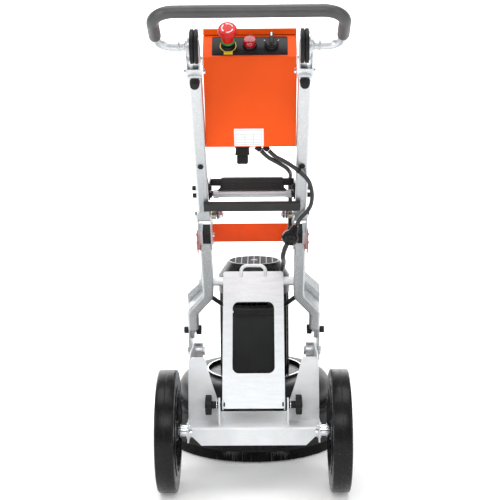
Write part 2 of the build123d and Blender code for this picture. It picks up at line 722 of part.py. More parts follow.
BOX_REAR = fwd(278.0)
BOX_LOW = 215.0
BOX_HIGH = 393.0
BOX_HALF = 62.0
GLAND_BOX_X = 44.0
GLAND_BOX_Y = fwd(306.0)
with BuildPart() as terminal_box:
    with BuildSketch(Plane.XY.offset(BOX_LOW)) as box_section:
        with Locations((0, (BOX_REAR + fwd(336)) / 2 + 4)):
            Rectangle(2 * BOX_HALF, fwd(336) - BOX_REAR - 8)
        with Locations((0, SPINDLE_Y)):
            Circle(MOTOR_R + GAP, mode=Mode.SUBTRACT)
    extrude(amount=BOX_HIGH - BOX_LOW)
    with BuildSketch(Plane.XZ.offset(-BOX_REAR - 7)):
        with Locations((0, (BOX_LOW + BOX_HIGH) / 2)):
            Rectangle(2 * BOX_HALF - 8, BOX_HIGH - BOX_LOW - 8)
    extrude(amount=-40, mode=Mode.SUBTRACT)
    with BuildSketch(Plane.XY.offset(BOX_HIGH - 0.1)):
        with Locations((GLAND_BOX_X, GLAND_BOX_Y)):
            RegularPolygon(9, 6)
    extrude(amount=10)
write(terminal_box, "terminal_box")

with BuildPart() as terminal_cover:
    with BuildSketch(Plane.XZ.offset(-BOX_REAR)):
        with Locations((0, (BOX_LOW + BOX_HIGH) / 2)):
            RectangleRounded(2 * BOX_HALF + 4, BOX_HIGH - BOX_LOW + 4, 12)
    extrude(amount=-7.8)
    fillet(terminal_cover.faces().sort_by(Axis.Y)[0].edges(), radius=3)
write(terminal_cover, "terminal_cover")

# ---------------------------------------------------------------- handle tubes
UPPER_LOW_T = 30.0
UPPER_TOP_T = 466.0
SIDE_BOLTS = [on_upper(93.0), on_upper(68.0)]

with BuildPart() as upper_tube_r:
    with BuildSketch(along_upper(UPPER_LOW_T, TUBE_X)):
        RectangleRounded(TUBE_W, TUBE_D, TUBE_CORNER)
        RectangleRounded(TUBE_W - 2 * TUBE_WALL, TUBE_D - 2 * TUBE_WALL,
                         TUBE_CORNER - TUBE_WALL, mode=Mode.SUBTRACT)
    extrude(amount=UPPER_TOP_T - UPPER_LOW_T)
    with BuildSketch(along_upper(UPPER_LOW_T, TUBE_X)):
        RectangleRounded(TUBE_W, TUBE_D, TUBE_CORNER)
    extrude(amount=4)
    # end lug that turns on the pivot bolt
    with BuildSketch(Plane.YZ.offset(TUBE_IN + GAP)):
        with Locations(PIVOT):
            Circle(17)
        with Locations(on_upper(UPPER_LOW_T + 3)):
            Rectangle(30, 3, rotation=UPPER_LEAN)
        make_hull()
        with Locations(PIVOT):
            Circle(PIVOT_R + FIT, mode=Mode.SUBTRACT)
    extrude(amount=TUBE_W - 2 * GAP)
    with BuildSketch(Plane.YZ.offset(TUBE_IN)):
        with Locations(*SIDE_BOLTS):
            Circle(4)
    extrude(amount=TUBE_W, mode=Mode.SUBTRACT)
write(upper_tube_r, "upper_tube_r")

with BuildPart() as upper_tube_l:
    mirror(upper_tube_r.part, about=Plane.YZ)
write(upper_tube_l, "upper_tube_l")

# ---------------------------------------------------------------- fold grip between the tubes
GRIP_PLATE_T = 2.6
GRIP_PLATE_X = TUBE_IN - 0.2 - GRIP_PLATE_T
GRIP_BAR = (fwd(80.0), 753.0)
TIE = (fwd(75.0), 726.0)
TIE_R = 6.5

with BuildPart() as grip_frame:
    with BuildSketch(Plane.YZ.offset(GRIP_PLATE_X)):
        with Locations(*SIDE_BOLTS):
            Circle(11)
        with Locations(GRIP_BAR):
            Circle(12)
        with Locations(TIE):
            Circle(9)
        make_hull()
        with Locations(*SIDE_BOLTS):
            Circle(4.1, mode=Mode.SUBTRACT)
    extrude(amount=GRIP_PLATE_T)
    mirror(about=Plane.YZ)
    with BuildSketch(Plane.YZ.offset(-GRIP_PLATE_X - 1)):
        with Locations(TIE):
            Circle(TIE_R)
            Circle(TIE_R - 1.5, mode=Mode.SUBTRACT)
    extrude(amount=2 * GRIP_PLATE_X + 2)
write(grip_frame, "grip_frame")

with BuildPart() as fold_grip:
    with BuildSketch(Plane.YZ.offset(-GRIP_PLATE_X)):
        with Locations(GRIP_BAR):
            RectangleRounded(14, 18, 3)
    extrude(amount=2 * GRIP_PLATE_X)
    with BuildSketch(Plane.YZ.offset(-78)):
        with Locations((GRIP_BAR[0], GRIP_BAR[1] - 3)):
            RectangleRounded(24, 28, 4)
    extrude(amount=156)
write(fold_grip, "fold_grip")

# ---------------------------------------------------------------- control box
BOX_X = TUBE_IN - 1.0
BOX_REAR_LOW = (fwd(-95.0), 850.0)
BOX_REAR_HIGH = (fwd(-195.0), 1050.0)
PANEL_TOP = (fwd(-157.0), 1097.0)
BOX_FRONT_HIGH = (fwd(-62.0), 1097.0)
BOX_FRONT_LOW = (fwd(20.0), 850.0)
BOX_WALL = 2.0

with BuildPart() as control_box:
    with BuildSketch(Plane.YZ.offset(-BOX_X)) as box_side:
        with BuildLine():
            Polyline(BOX_REAR_LOW, BOX_REAR_HIGH, PANEL_TOP, BOX_FRONT_HIGH, BOX_FRONT_LOW,
                     close=True)
        make_face()
    extrude(amount=2 * BOX_X)
    with BuildSketch(Plane.YZ.offset(-BOX_X + BOX_WALL)) as box_hollow:
        add(box_side.sketch_local)
        offset(amount=-BOX_WALL)
    extrude(amount=2 * (BOX_X - BOX_WALL), mode=Mode.SUBTRACT)
    with BuildSketch(Plane.XY.offset(PANEL_TOP[1] - 5)):
        with Locations((0, (PANEL_TOP[0] + BOX_FRONT_HIGH[0]) / 2)):
            Rectangle(2 * (BOX_X - 8), BOX_FRONT_HIGH[0] - PANEL_TOP[0] - 16)
    extrude(amount=8, mode=Mode.SUBTRACT)
write(control_box, "control_box")

with BuildPart() as box_lid:
    with BuildSketch(Plane.XY.offset(PANEL_TOP[1] + 1.3)):
        with Locations((0, (PANEL_TOP[0] - 3 + BOX_FRONT_HIGH[0] + 3) / 2)):
            Rectangle(2 * BOX_X, BOX_FRONT_HIGH[0] - PANEL_TOP[0] + 6)
    extrude(amount=13.5)
    fillet(box_lid.edges().filter_by(Axis.X).group_by(Axis.Z)[-1], radius=4)
    with BuildSketch(Plane.XY.offset(PANEL_TOP[1] + 1.3)):
        with Locations((0, (PANEL_TOP[0] + BOX_FRONT_HIGH[0]) / 2)):
            Rectangle(2 * BOX_X - 5, BOX_FRONT_HIGH[0] - PANEL_TOP[0])
    extrude(amount=11, mode=Mode.SUBTRACT)
    with BuildSketch(Plane.XY.offset(PANEL_TOP[1] + 0.1)):
        with Locations((0, (PANEL_TOP[0] + BOX_FRONT_HIGH[0]) / 2)):
            Rectangle(2 * BOX_X - 4, BOX_FRONT_HIGH[0] - PANEL_TOP[0] - 4)
            Rectangle(2 * BOX_X - 12, BOX_FRONT_HIGH[0] - PANEL_TOP[0] - 12,
                      mode=Mode.SUBTRACT)
    extrude(amount=14)
write(box_lid, "box_lid")

panel_dy = PANEL_TOP[0] - BOX_REAR_HIGH[0]
panel_dz = PANEL_TOP[1] - BOX_REAR_HIGH[1]
panel_length = math.hypot(panel_dy, panel_dz)
PANEL = Plane(origin=(0, (PANEL_TOP[0] + BOX_REAR_HIGH[0]) / 2,
                      (PANEL_TOP[1] + BOX_REAR_HIGH[1]) / 2),
              x_dir=(1, 0, 0), z_dir=(0, -panel_dz / panel_length, panel_dy / panel_length))
ESTOP_X = -47.0
SELECTOR_X = 47.0
PLATE_FACE = 1.2

with BuildPart() as panel_plate:
    with BuildSketch(PANEL.offset(0.2)):
        RectangleRounded(164, 51, 3)
    extrude(amount=PLATE_FACE - 0.2)
write(panel_plate, "panel_plate")

ESTOP_STEM_R = 12.0
SELECTOR_STEM_R = 5.0
with BuildPart() as panel_collars:
    with BuildSketch(PANEL.offset(PLATE_FACE)):
        with Locations((ESTOP_X, 0)):
            Circle(16.5)
            Circle(ESTOP_STEM_R + 0.4, mode=Mode.SUBTRACT)
    extrude(amount=3)
    with BuildSketch(PANEL.offset(PLATE_FACE + 2.5)):
        with Locations((ESTOP_X, 0)):
            Circle(15)
            Circle(ESTOP_STEM_R + 0.4, mode=Mode.SUBTRACT)
    extrude(amount=7.5)
    with BuildSketch(PANEL.offset(PLATE_FACE)):
        with Locations((SELECTOR_X, 0)):
            Circle(15.5)
            Circle(SELECTOR_STEM_R + FIT, mode=Mode.SUBTRACT)
    extrude(amount=9)
write(panel_collars, "panel_collars")

ESTOP_TRAVEL = 5.0
ESTOP_HEAD = 46.0        # underside of the mushroom head above the panel
with BuildPart() as estop_button:
    with BuildSketch(PANEL.offset(PLATE_FACE + ESTOP_TRAVEL + 0.5)):
        with Locations((ESTOP_X, 0)):
            Circle(ESTOP_STEM_R)
    extrude(amount=14)
    with BuildSketch(PANEL.offset(PLATE_FACE + 10.5 + ESTOP_TRAVEL)):
        with Locations((ESTOP_X, 0)):
            Circle(14)
    with BuildSketch(PANEL.offset(ESTOP_HEAD)):
        with Locations((ESTOP_X, 0)):
            Circle(15.5)
    loft()
    with BuildSketch(PANEL.offset(ESTOP_HEAD)):
        with Locations((ESTOP_X, 0)):
            Circle(20)
    extrude(amount=11.5)
    fillet(estop_button.faces().sort_by(Axis(PANEL.origin, PANEL.z_dir))[-1].edges(), radius=4)
write(estop_button, "estop_button")

with BuildPart() as pilot_light:
    with BuildSketch(PANEL.offset(PLATE_FACE)):
        Circle(14.7)
    extrude(amount=8)
    with BuildSketch(PANEL.offset(PLATE_FACE + 8)):
        Circle(14)
    extrude(amount=13)
    fillet(pilot_light.faces().sort_by(Axis(PANEL.origin, PANEL.z_dir))[-1].edges(), radius=3)
write(pilot_light, "pilot_light")

with BuildPart() as selector_knob:
    with BuildSketch(PANEL.offset(PLATE_FACE + 1)):
        with Locations((SELECTOR_X, 0)):
            Circle(SELECTOR_STEM_R)
    extrude(amount=9)
    with BuildSketch(PANEL.offset(PLATE_FACE + 9 + GAP)):
        with Locations((SELECTOR_X, 0)):
            Circle(14)
    extrude(amount=4)
    with BuildSketch(PANEL.offset(PLATE_FACE + 12)):
        with Locations((SELECTOR_X, 2)):
            RectangleRounded(8, 30, 2)
    extrude(amount=12)
write(selector_knob, "selector_knob")

INLET_X = -20.0
INLET_Y = fwd(-70)
BOX_FLOOR = BOX_REAR_LOW[1]
GLAND_Y = fwd(-72.0)
GLAND_LENGTH = 20.0
GLAND_AXIS = Vector(math.sqrt(0.5), 0, -math.sqrt(0.5))
LEAD_A_X = 26.0
LEAD_B_X = 8.0
with BuildPart() as box_fittings:
    # appliance inlet with the mains connector pushed in
    with BuildSketch(Plane.XY.offset(BOX_FLOOR - 0.2)):
        with Locations((INLET_X, INLET_Y)):
            RectangleRounded(32, 34, 3)
    extrude(amount=-20)
    with BuildSketch(Plane.XY.offset(BOX_FLOOR - 18)):
        with Locations((INLET_X, INLET_Y)):
            RectangleRounded(24, 26, 3)
    extrude(amount=-21)
    # cable glands, slanting towards the right tube
    for x in (LEAD_A_X, LEAD_B_X):
        with BuildSketch(Plane(origin=(x, GLAND_Y, BOX_FLOOR + 4), x_dir=(0, 1, 0),
                               z_dir=GLAND_AXIS)):
            Circle(7)
        extrude(amount=GLAND_LENGTH)
    with BuildSketch(Plane.XY.offset(BOX_FLOOR - 0.2)):
        with Locations(((LEAD_A_X + LEAD_B_X) / 2, GLAND_Y)):
            Rectangle(80, 40)
    extrude(amount=20, mode=Mode.SUBTRACT)
write(box_fittings, "box_fittings")

# ---------------------------------------------------------------- knuckles and clamps
KNUCKLE = on_upper(KNUCKLE_T)
KNUCKLE_R = 34.0
RIM_CHAMFER = 1.6
KNUCKLE_IN = 107.5
KNUCKLE_MID = 119.0
KNUCKLE_OUT = 130.5
SOCKET_OUT = 146.0
PIN_R = 6.0

with BuildPart() as knuckles_fixed:
    with BuildSketch(Plane.YZ.offset(KNUCKLE_IN)):
        with Locations(KNUCKLE):
            Circle(KNUCKLE_R)
    extrude(amount=KNUCKLE_MID - KNUCKLE_IN - 0.2)
    chamfer(knuckles_fixed.faces().sort_by(Axis.X)[-1].edges(), length=RIM_CHAMFER)
    with BuildSketch(Plane.YZ.offset(KNUCKLE_IN - 2)):
        with Locations(on_upper(UPPER_TOP_T + 18)):
            Rectangle(30, 35, rotation=UPPER_LEAN)
    extrude(amount=11)
    with BuildSketch(along_upper(UPPER_TOP_T - 34, TUBE_X)):
        RectangleRounded(TUBE_W - 2 * TUBE_WALL - 0.6, TUBE_D - 2 * TUBE_WALL - 0.6, 4)
    extrude(amount=36)
    with BuildSketch(Plane.YZ.offset(KNUCKLE_IN - 0.5)):
        with Locations(KNUCKLE):
            Circle(PIN_R)
    extrude(amount=KNUCKLE_OUT - KNUCKLE_IN - 2)
    # clamp bands round the tube ends
    with BuildSketch(along_upper(UPPER_TOP_T - 10.5, TUBE_X)):
        RectangleRounded(TUBE_W + 5, TUBE_D + 7, 4)
        RectangleRounded(TUBE_W + 0.4, TUBE_D + 0.4, TUBE_CORNER, mode=Mode.SUBTRACT)
    extrude(amount=10)
    mirror(about=Plane.YZ)
write(knuckles_fixed, "knuckles_fixed")

with BuildPart() as knuckles_moving:
    with BuildSketch(Plane.YZ.offset(KNUCKLE_MID + 0.2)):
        with Locations(KNUCKLE):
            Circle(KNUCKLE_R)
    extrude(amount=KNUCKLE_OUT - KNUCKLE_MID - 0.2)
    chamfer(knuckles_moving.faces().sort_by(Axis.X)[0].edges(), length=RIM_CHAMFER)
    with BuildSketch(Plane.YZ.offset(KNUCKLE_OUT - 1)):
        with Locations(KNUCKLE):
            Circle(12)
    extrude(amount=SOCKET_OUT - KNUCKLE_OUT + 1)
    with BuildSketch(Plane.YZ.offset(KNUCKLE_MID)):
        with Locations(KNUCKLE):
            Circle(PIN_R + FIT)
    extrude(amount=KNUCKLE_OUT - KNUCKLE_MID - 1, mode=Mode.SUBTRACT)
    mirror(about=Plane.YZ)
write(knuckles_moving, "knuckles_moving")

CLAMP_T = UPPER_TOP_T - 22.0
with BuildPart() as clamp_knob_r:
    clamp_plane = Plane(origin=UPPER.from_local_coords((TUBE_X, CLAMP_T, TUBE_D / 2 + GAP)),
                        x_dir=(1, 0, 0), z_dir=UPPER.z_dir)
    with BuildSketch(clamp_plane):
        Circle(11)
    with BuildSketch(clamp_plane.offset(22)):
        Circle(9)
    loft()
write(clamp_knob_r, "clamp_knob_r")

with BuildPart() as clamp_knob_l:
    mirror(clamp_knob_r.part, about=Plane.YZ)
write(clamp_knob_l, "clamp_knob_l")

# ---------------------------------------------------------------- handlebar
BAR_R = 9.5
FOAM_R = 13.0
rise = math.radians(HANDLEBAR_RISE)
BAR = Plane(origin=(0, KNUCKLE[0], KNUCKLE[1]), x_dir=(1, 0, 0),
            z_dir=(0, -math.sin(rise), -math.cos(rise)))
LOWER_BEND = 34.0
UPPER_BEND = 46.0
BAR_START = 16.0
FOAM_START = 38.0

with BuildPart() as handlebar_tube:
    with BuildLine(BAR) as bar_route:
        FilletPolyline((SOCKET_OUT, 0), (HANDLEBAR_HALF, 0), (HANDLEBAR_HALF, HANDLEBAR_REACH),
                       (-HANDLEBAR_HALF, HANDLEBAR_REACH), (-HANDLEBAR_HALF, 0),
                       (-SOCKET_OUT, 0),
                       radius=[LOWER_BEND, UPPER_BEND, UPPER_BEND, LOWER_BEND])
    with BuildSketch(Plane(origin=bar_route.line @ 0, z_dir=bar_route.line % 0)):
        Circle(BAR_R)
        Circle(BAR_R - 2, mode=Mode.SUBTRACT)
    sweep()
write(handlebar_tube, "handlebar_tube")

with BuildPart() as foam_grip:
    with BuildLine(BAR) as foam_route:
        FilletPolyline((HANDLEBAR_HALF, FOAM_START), (HANDLEBAR_HALF, HANDLEBAR_REACH),
                       (-HANDLEBAR_HALF, HANDLEBAR_REACH), (-HANDLEBAR_HALF, FOAM_START),
                       radius=UPPER_BEND)
    with BuildSketch(Plane(origin=foam_route.line @ 0, z_dir=foam_route.line % 0)):
        Circle(FOAM_R)
        Circle(BAR_R + 0.1, mode=Mode.SUBTRACT)
    sweep()
write(foam_grip, "foam_grip")

# ---------------------------------------------------------------- leads and coupling
COUPLING = Vector(91, fwd(40), 620)
COUPLING_TILT = math.radians(26)
COUPLING_AXIS = Vector(math.sin(COUPLING_TILT), 0, math.cos(COUPLING_TILT))
ENTRY_AXIS = Vector(0, math.sqrt(0.5), math.sqrt(0.5))
coupling_plane = Plane(origin=COUPLING, x_dir=(0, 1, 0), z_dir=COUPLING_AXIS)
BODY_R = 19.0
RELIEF_TIP = 34.0
TAIL = 16.0
ENTRY_REACH = 27.0

with BuildPart() as lead_coupling:
    with BuildSketch(coupling_plane.offset(-14)):
        Circle(BODY_R)
    extrude(amount=24)
    with BuildSketch(coupling_plane.offset(-4)):
        Circle(BODY_R + 3)
    extrude(amount=6)
    with BuildSketch(coupling_plane.offset(10)):
        Circle(15)
    with BuildSketch(coupling_plane.offset(RELIEF_TIP)):
        Circle(7)
    loft()
    with BuildSketch(coupling_plane.offset(-TAIL)):
        Circle(9)
    extrude(amount=TAIL - 13)
    with BuildSketch(Plane(origin=COUPLING, z_dir=ENTRY_AXIS)):
        Circle(7)
    extrude(amount=ENTRY_REACH)
write(lead_coupling, "lead_coupling")


def bend_radii(points):
    """One radius per corner: 0.45 of the shorter run over the tangent of half the turn."""
    radii = []
    for before, corner, after in zip(points, points[1:], points[2:]):
        run_in = Vector(*corner) - Vector(*before)
        run_out = Vector(*after) - Vector(*corner)
        half_turn = math.radians(run_in.get_angle(run_out)) / 2
        radii.append(0.45 * min(run_in.length, run_out.length) / math.tan(half_turn))
    return radii


def along(start, direction, distance):
    return tuple(start + direction * distance)


relief_end = RELIEF_TIP + GAP
gland_a = Vector(LEAD_A_X, GLAND_Y, BOX_FLOOR + 4)
gland_b = Vector(LEAD_B_X, GLAND_Y, BOX_FLOOR + 4)
lead_a_points = [
    along(gland_a, GLAND_AXIS, GLAND_LENGTH + GAP),
    (54, fwd(-72.5), 826),
    (82, fwd(-74), 812),
    (110, fwd(-74), 792),
    (134, fwd(-52), 768),
    (142.5, fwd(-26), 734),
    (141, fwd(0), 707),
    (133, fwd(17), 688),
    (118, fwd(32), 672),
    along(COUPLING, COUPLING_AXIS, relief_end + 1.6),
]
entry_end = ENTRY_REACH + GAP
lead_b_points = [
    along(gland_b, GLAND_AXIS, GLAND_LENGTH + GAP),
    (38, fwd(-71), 824),
    (63, fwd(-64), 810),
    (82, fwd(-42), 797),
    (90.5, fwd(-4), 783),
    (93, fwd(36), 775),
    (93.5, fwd(74), 773),
    (93.5, fwd(104), 762),
    (93, fwd(116), 732),
    (93.5, fwd(105), 698),
    (92, fwd(86), 664),
    along(COUPLING, ENTRY_AXIS, entry_end),
]
motor_lead_points = [
    along(COUPLING, COUPLING_AXIS, -TAIL - GAP),
    along(COUPLING, COUPLING_AXIS, -TAIL - 13),
    (74.5, fwd(49), 579),
    (73.5, fwd(65), 569),
    (74.5, fwd(90), 562),
    (76.5, fwd(124), 553),
    (78, fwd(162), 541),
    (77, fwd(200), 524),
    (71, fwd(238), 499),
    (60, fwd(270), 472),
    (50, fwd(292), 450),
    (GLAND_BOX_X + 0.5, GLAND_BOX_Y - 1, 425),
    (GLAND_BOX_X, GLAND_BOX_Y, BOX_HIGH + 10 + GAP),
]

for name, points, lead_r in (("lead_a", lead_a_points, LEAD_R), ("lead_b", lead_b_points, LEAD_R),
                             ("motor_lead", motor_lead_points, MOTOR_LEAD_R)):
    radii = bend_radii(points)
    print(name, "bend radii", [round(radius) for radius in radii])
    with BuildPart() as lead:
        with BuildLine() as lead_route:
            FilletPolyline(*points, radius=radii)
        with BuildSketch(Plane(origin=lead_route.line @ 0, z_dir=lead_route.line % 0)):
            Circle(lead_r)
        sweep()
    lead_length = sum(edge.length for edge in lead_route.edges())
    print(name, "length", round(lead_length), "volume over section times length",
          round(lead.part.volume / (math.pi * lead_r ** 2 * lead_length), 4))
    write(lead, name)

# ---------------------------------------------------------------- fasteners
HEAD_T = 5.0
TAB_BOLT = on_lower(TUBE_END_S - 22)
FLANGE_BOLT_R = 114.0
# each bolt on the right side: where it starts and ends in X, its centre and its radius
frame_bolts = [
    (73, BRACKET_OUT_X + BRACKET_T + 0.1, PIVOT, PIVOT_R),
    (TAB_IN - HEAD_T - 0.1, ARM_IN + ARM_T + 0.1, TAB_BOLT, 5),
    (BRACKET_IN_X - HEAD_T - 0.1, BAND_X + BAND_T + 0.1, LINK_BOLTS[0], LINK_BOLT_R),
    (BRACKET_IN_X - HEAD_T - 0.1, BAND_X + BAND_T + 0.1, LINK_BOLTS[1], LINK_BOLT_R),
    (CHASSIS_X - SHEET - 26, ARM_IN + ARM_T + 0.1, BUSH, 7.9),
]
handle_bolts = [(GRIP_PLATE_X - HEAD_T - 0.1, TUBE_OUT + 0.1, centre, 3.9) for centre in SIDE_BOLTS]

with BuildPart() as frame_fasteners:
    for x_from, x_to, centre, radius in frame_bolts:
        with BuildSketch(Plane.YZ.offset(x_from)):
            with Locations(centre):
                Circle(radius)
        extrude(amount=x_to - x_from)
        with BuildSketch(Plane.YZ.offset(x_from), Plane.YZ.offset(x_to)):
            with Locations(centre):
                RegularPolygon(radius * 1.7, 6)
        extrude(amount=HEAD_T)
    mirror(about=Plane.YZ)
    with BuildSketch(Plane.XY.offset(BODY_LOW + 11.1)):
        with Locations((0, SPINDLE_Y)):
            with PolarLocations(FLANGE_BOLT_R, 4, start_angle=45):
                RegularPolygon(9, 6)
    extrude(amount=7)
    with BuildSketch(Plane.XY.offset(HOOD_TOP + ARM_T + 0.4)):
        for x in (-150, 150):
            with Locations((x, HOOD_FOOT[0] + 18), (x, HOOD_FOOT[1] - 18)):
                RegularPolygon(7, 6)
    extrude(amount=5)
write(frame_fasteners, "frame_fasteners")

PLUG_T = 185.0           # threaded plugs in the back of the handle tubes
with BuildPart() as handle_fasteners:
    for x_from, x_to, centre, radius in handle_bolts:
        with BuildSketch(Plane.YZ.offset(x_from)):
            with Locations(centre):
                Circle(radius)
        extrude(amount=x_to - x_from)
        with BuildSketch(Plane.YZ.offset(x_from), Plane.YZ.offset(x_to)):
            with Locations(centre):
                RegularPolygon(radius * 1.7, 6)
        extrude(amount=HEAD_T)
    plug_origin = UPPER.from_local_coords((TUBE_X, PLUG_T, TUBE_D / 2 + 0.1))
    with BuildSketch(Plane(origin=plug_origin, x_dir=(1, 0, 0), z_dir=UPPER.z_dir)):
        RegularPolygon(7, 6)
    extrude(amount=3)
    mirror(about=Plane.YZ)
write(handle_fasteners, "handle_fasteners")
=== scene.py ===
"""Looks for the walk-behind concrete grinder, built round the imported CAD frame."""
import math
import random

import bmesh
import bpy
from mathutils import Matrix, Vector


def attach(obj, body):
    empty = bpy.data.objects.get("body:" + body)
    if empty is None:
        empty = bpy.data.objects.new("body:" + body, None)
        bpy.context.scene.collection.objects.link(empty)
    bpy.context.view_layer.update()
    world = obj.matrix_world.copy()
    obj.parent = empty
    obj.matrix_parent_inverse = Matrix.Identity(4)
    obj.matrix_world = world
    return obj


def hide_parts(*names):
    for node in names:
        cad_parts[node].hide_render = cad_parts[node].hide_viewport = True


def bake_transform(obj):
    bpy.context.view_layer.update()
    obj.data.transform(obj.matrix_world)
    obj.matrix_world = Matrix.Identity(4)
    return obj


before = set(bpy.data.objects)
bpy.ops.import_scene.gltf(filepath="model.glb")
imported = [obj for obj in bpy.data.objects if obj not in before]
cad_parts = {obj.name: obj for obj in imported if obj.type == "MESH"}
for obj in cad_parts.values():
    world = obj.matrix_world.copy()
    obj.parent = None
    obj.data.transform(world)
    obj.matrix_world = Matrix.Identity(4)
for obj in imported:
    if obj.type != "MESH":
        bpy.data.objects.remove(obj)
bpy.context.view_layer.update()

MM = 0.001
SIDES = ((1, "r"), (-1, "l"))

# ---------- driving places (millimetres)
PIVOT = Vector((0, -68, 675))
UPPER_LEAN = math.radians(40)
UPPER_UP = Vector((0, -math.sin(UPPER_LEAN), math.cos(UPPER_LEAN)))
UPPER_BACK = Vector((0, -math.cos(UPPER_LEAN), -math.sin(UPPER_LEAN)))
TUBE_X = 117
TUBE_D = 40
UPPER_TOP_T = 466
KNUCKLE_T = 518
KNUCKLE_R = 34
CLAMP_T = 444
ARM_BOLT = (147.7, 338.3)   # bolt at the foot of each frame tube (y, z)
AXLE = Vector((0, -134, 150))
SPINDLE_Y = 293
PANEL = Vector((0, -310, 1073.5))
PANEL_N = Vector((0, -0.7776, 0.6287))
PANEL_UP = Vector((0, PANEL_N.z, -PANEL_N.y))
ESTOP_X = -47
SELECTOR_X = 47
BOX_FLOOR = 850
KNOB_Y = -124
KNOB_Z = 212
COUPLING = Vector((91, -94, 620))
COUPLING_TILT = math.radians(26)
COUPLING_AXIS = Vector((math.sin(COUPLING_TILT), 0, math.cos(COUPLING_TILT)))
COUPLING_ENTRY = Vector((0, math.sqrt(0.5), math.sqrt(0.5)))
LEAD_R = 5.0
GLAND_A = Vector((26, -206, BOX_FLOOR + 4))
GLAND_B = Vector((8, -206, BOX_FLOOR + 4))
GLAND_OUT = Vector((math.sqrt(0.5), 0, -math.sqrt(0.5)))


def frame_at(origin, z_dir, x_hint=(1, 0, 0)):
    """A matrix in metres whose Z points along z_dir and whose X is as near x_hint as it can be."""
    z = Vector(z_dir).normalized()
    x = Vector(x_hint) - z * Vector(x_hint).dot(z)
    x.normalize()
    y = z.cross(x)
    turn = Matrix((x, y, z)).transposed().to_4x4()
    return Matrix.Translation(Vector(origin) * MM) @ turn


def outward(origin, side):
    """A matrix whose Z points across the machine, to the right for 1 and to the left for -1."""
    return frame_at(origin, (side, 0, 0), (0, 1, 0))


def shifted(x, y, z):
    return Matrix.Translation((x * MM, y * MM, z * MM))


def polar(radius, angle, height=0.0):
    """A point in metres from a radius and height in mm."""
    return Vector((radius * math.cos(angle) * MM, radius * math.sin(angle) * MM, height * MM))


def upper_point(x, t, behind):
    """A point of the folding handle: t up its tubes from the fold axis, behind them."""
    return PIVOT + Vector((x, 0, 0)) + UPPER_UP * t + UPPER_BACK * behind


def on_panel(x, up=0.0, out=0.0, x_hint=(1, 0, 0)):
    """A matrix on the panel's face whose Z points out of it."""
    return frame_at(PANEL + Vector((x, 0, 0)) + PANEL_UP * up + PANEL_N * out, PANEL_N, x_hint)


# ---------- materials
class Nodes:
    """Short names for building one node material."""

    def __init__(self, name):
        self.material = bpy.data.materials.new(name)
        self.material.use_nodes = True
        self.tree = self.material.node_tree
        self.shader = self.tree.nodes["Principled BSDF"]
        self.place = self.add("ShaderNodeTexCoord").outputs["Object"]

    def add(self, kind, **sockets):
        """A new node with its sockets set: From_Min=0.3 sets the socket From Min."""
        node = self.tree.nodes.new(kind)
        for key, value in sockets.items():
            node.inputs[key.replace("_", " ")].default_value = value
        return node

    def link(self, out, into):
        self.tree.links.new(out, into)

    def stretched(self, scale):
        mapping = self.add("ShaderNodeMapping", Scale=scale)
        self.link(self.place, mapping.inputs["Vector"])
        return mapping.outputs["Vector"]

    def noise(self, scale, detail=4.0, place=None):
        node = self.add("ShaderNodeTexNoise", Scale=scale, Detail=detail, Roughness=0.55)
        self.link(place or self.place, node.inputs["Vector"])
        return node.outputs["Fac"]

    def cells(self, scale):
        node = self.add("ShaderNodeTexVoronoi", Scale=scale)
        self.link(self.place, node.inputs["Vector"])
        return node.outputs["Distance"]

    def spread(self, value, low, high, source=(0.3, 0.7)):
        node = self.add("ShaderNodeMapRange", From_Min=source[0], From_Max=source[1], To_Min=low,
                        To_Max=high)
        self.link(value, node.inputs["Value"])
        return node.outputs["Result"]

    def blend(self, factor, first, second):
        node = self.add("ShaderNodeMix")
        node.data_type = "RGBA"
        self.link(factor, node.inputs["Factor"])
        for socket, value in ((node.inputs[6], first), (node.inputs[7], second)):
            if hasattr(value, "links"):
                self.link(value, socket)
            else:
                socket.default_value = (*value, 1)
        return node.outputs[2]

    def bump(self, height, strength, edge=0.0):
        """Surface relief 0.4 mm deep at full strength, with edges rounded by shading."""
        node = self.add("ShaderNodeBump", Strength=strength, Distance=0.0004)
        self.link(height, node.inputs["Height"])
        if edge:
            rounding = self.add("ShaderNodeBevel", Radius=edge)
            rounding.samples = 4
            self.link(rounding.outputs["Normal"], node.inputs["Normal"])
        self.link(node.outputs["Normal"], self.shader.inputs["Normal"])

    def finish(self, colour, roughness, metallic=0.0, **sockets):
        self.link(colour, self.shader.inputs["Base Color"])
        self.link(roughness, self.shader.inputs["Roughness"])
        self.shader.inputs["Metallic"].default_value = metallic
        for key, value in sockets.items():
            self.shader.inputs[key.replace("_", " ")].default_value = value
        return self.material


def shade(colour, factor):
    return tuple(min(1.0, channel * factor) for channel in colour)


def coated(name, colour, roughness=(0.3, 0.42), vary=0.1, cloud=6.0, grain=900.0, bump=0.06,
           edge=0.0012, scuffs=0.0, specular=0.5):
    """Paint, powder coat or moulded plastic: slow colour cloud, fine surface grain, soft edges."""
    n = Nodes(name)
    cloudy = n.spread(n.noise(cloud), 0, 1)
    tone = n.blend(cloudy, shade(colour, 1 - vary), shade(colour, 1 + vary))
    if scuffs:
        worn = n.spread(n.noise(70.0, 8.0), 0, scuffs, (0.62, 0.8))
        tone = n.blend(worn, tone, shade(colour, 1.9))
    rough = n.spread(n.noise(cloud * 7, 5.0), *roughness)
    n.bump(n.noise(grain, 2.0), bump, edge)
    return n.finish(tone, rough, Specular_IOR_Level=specular)


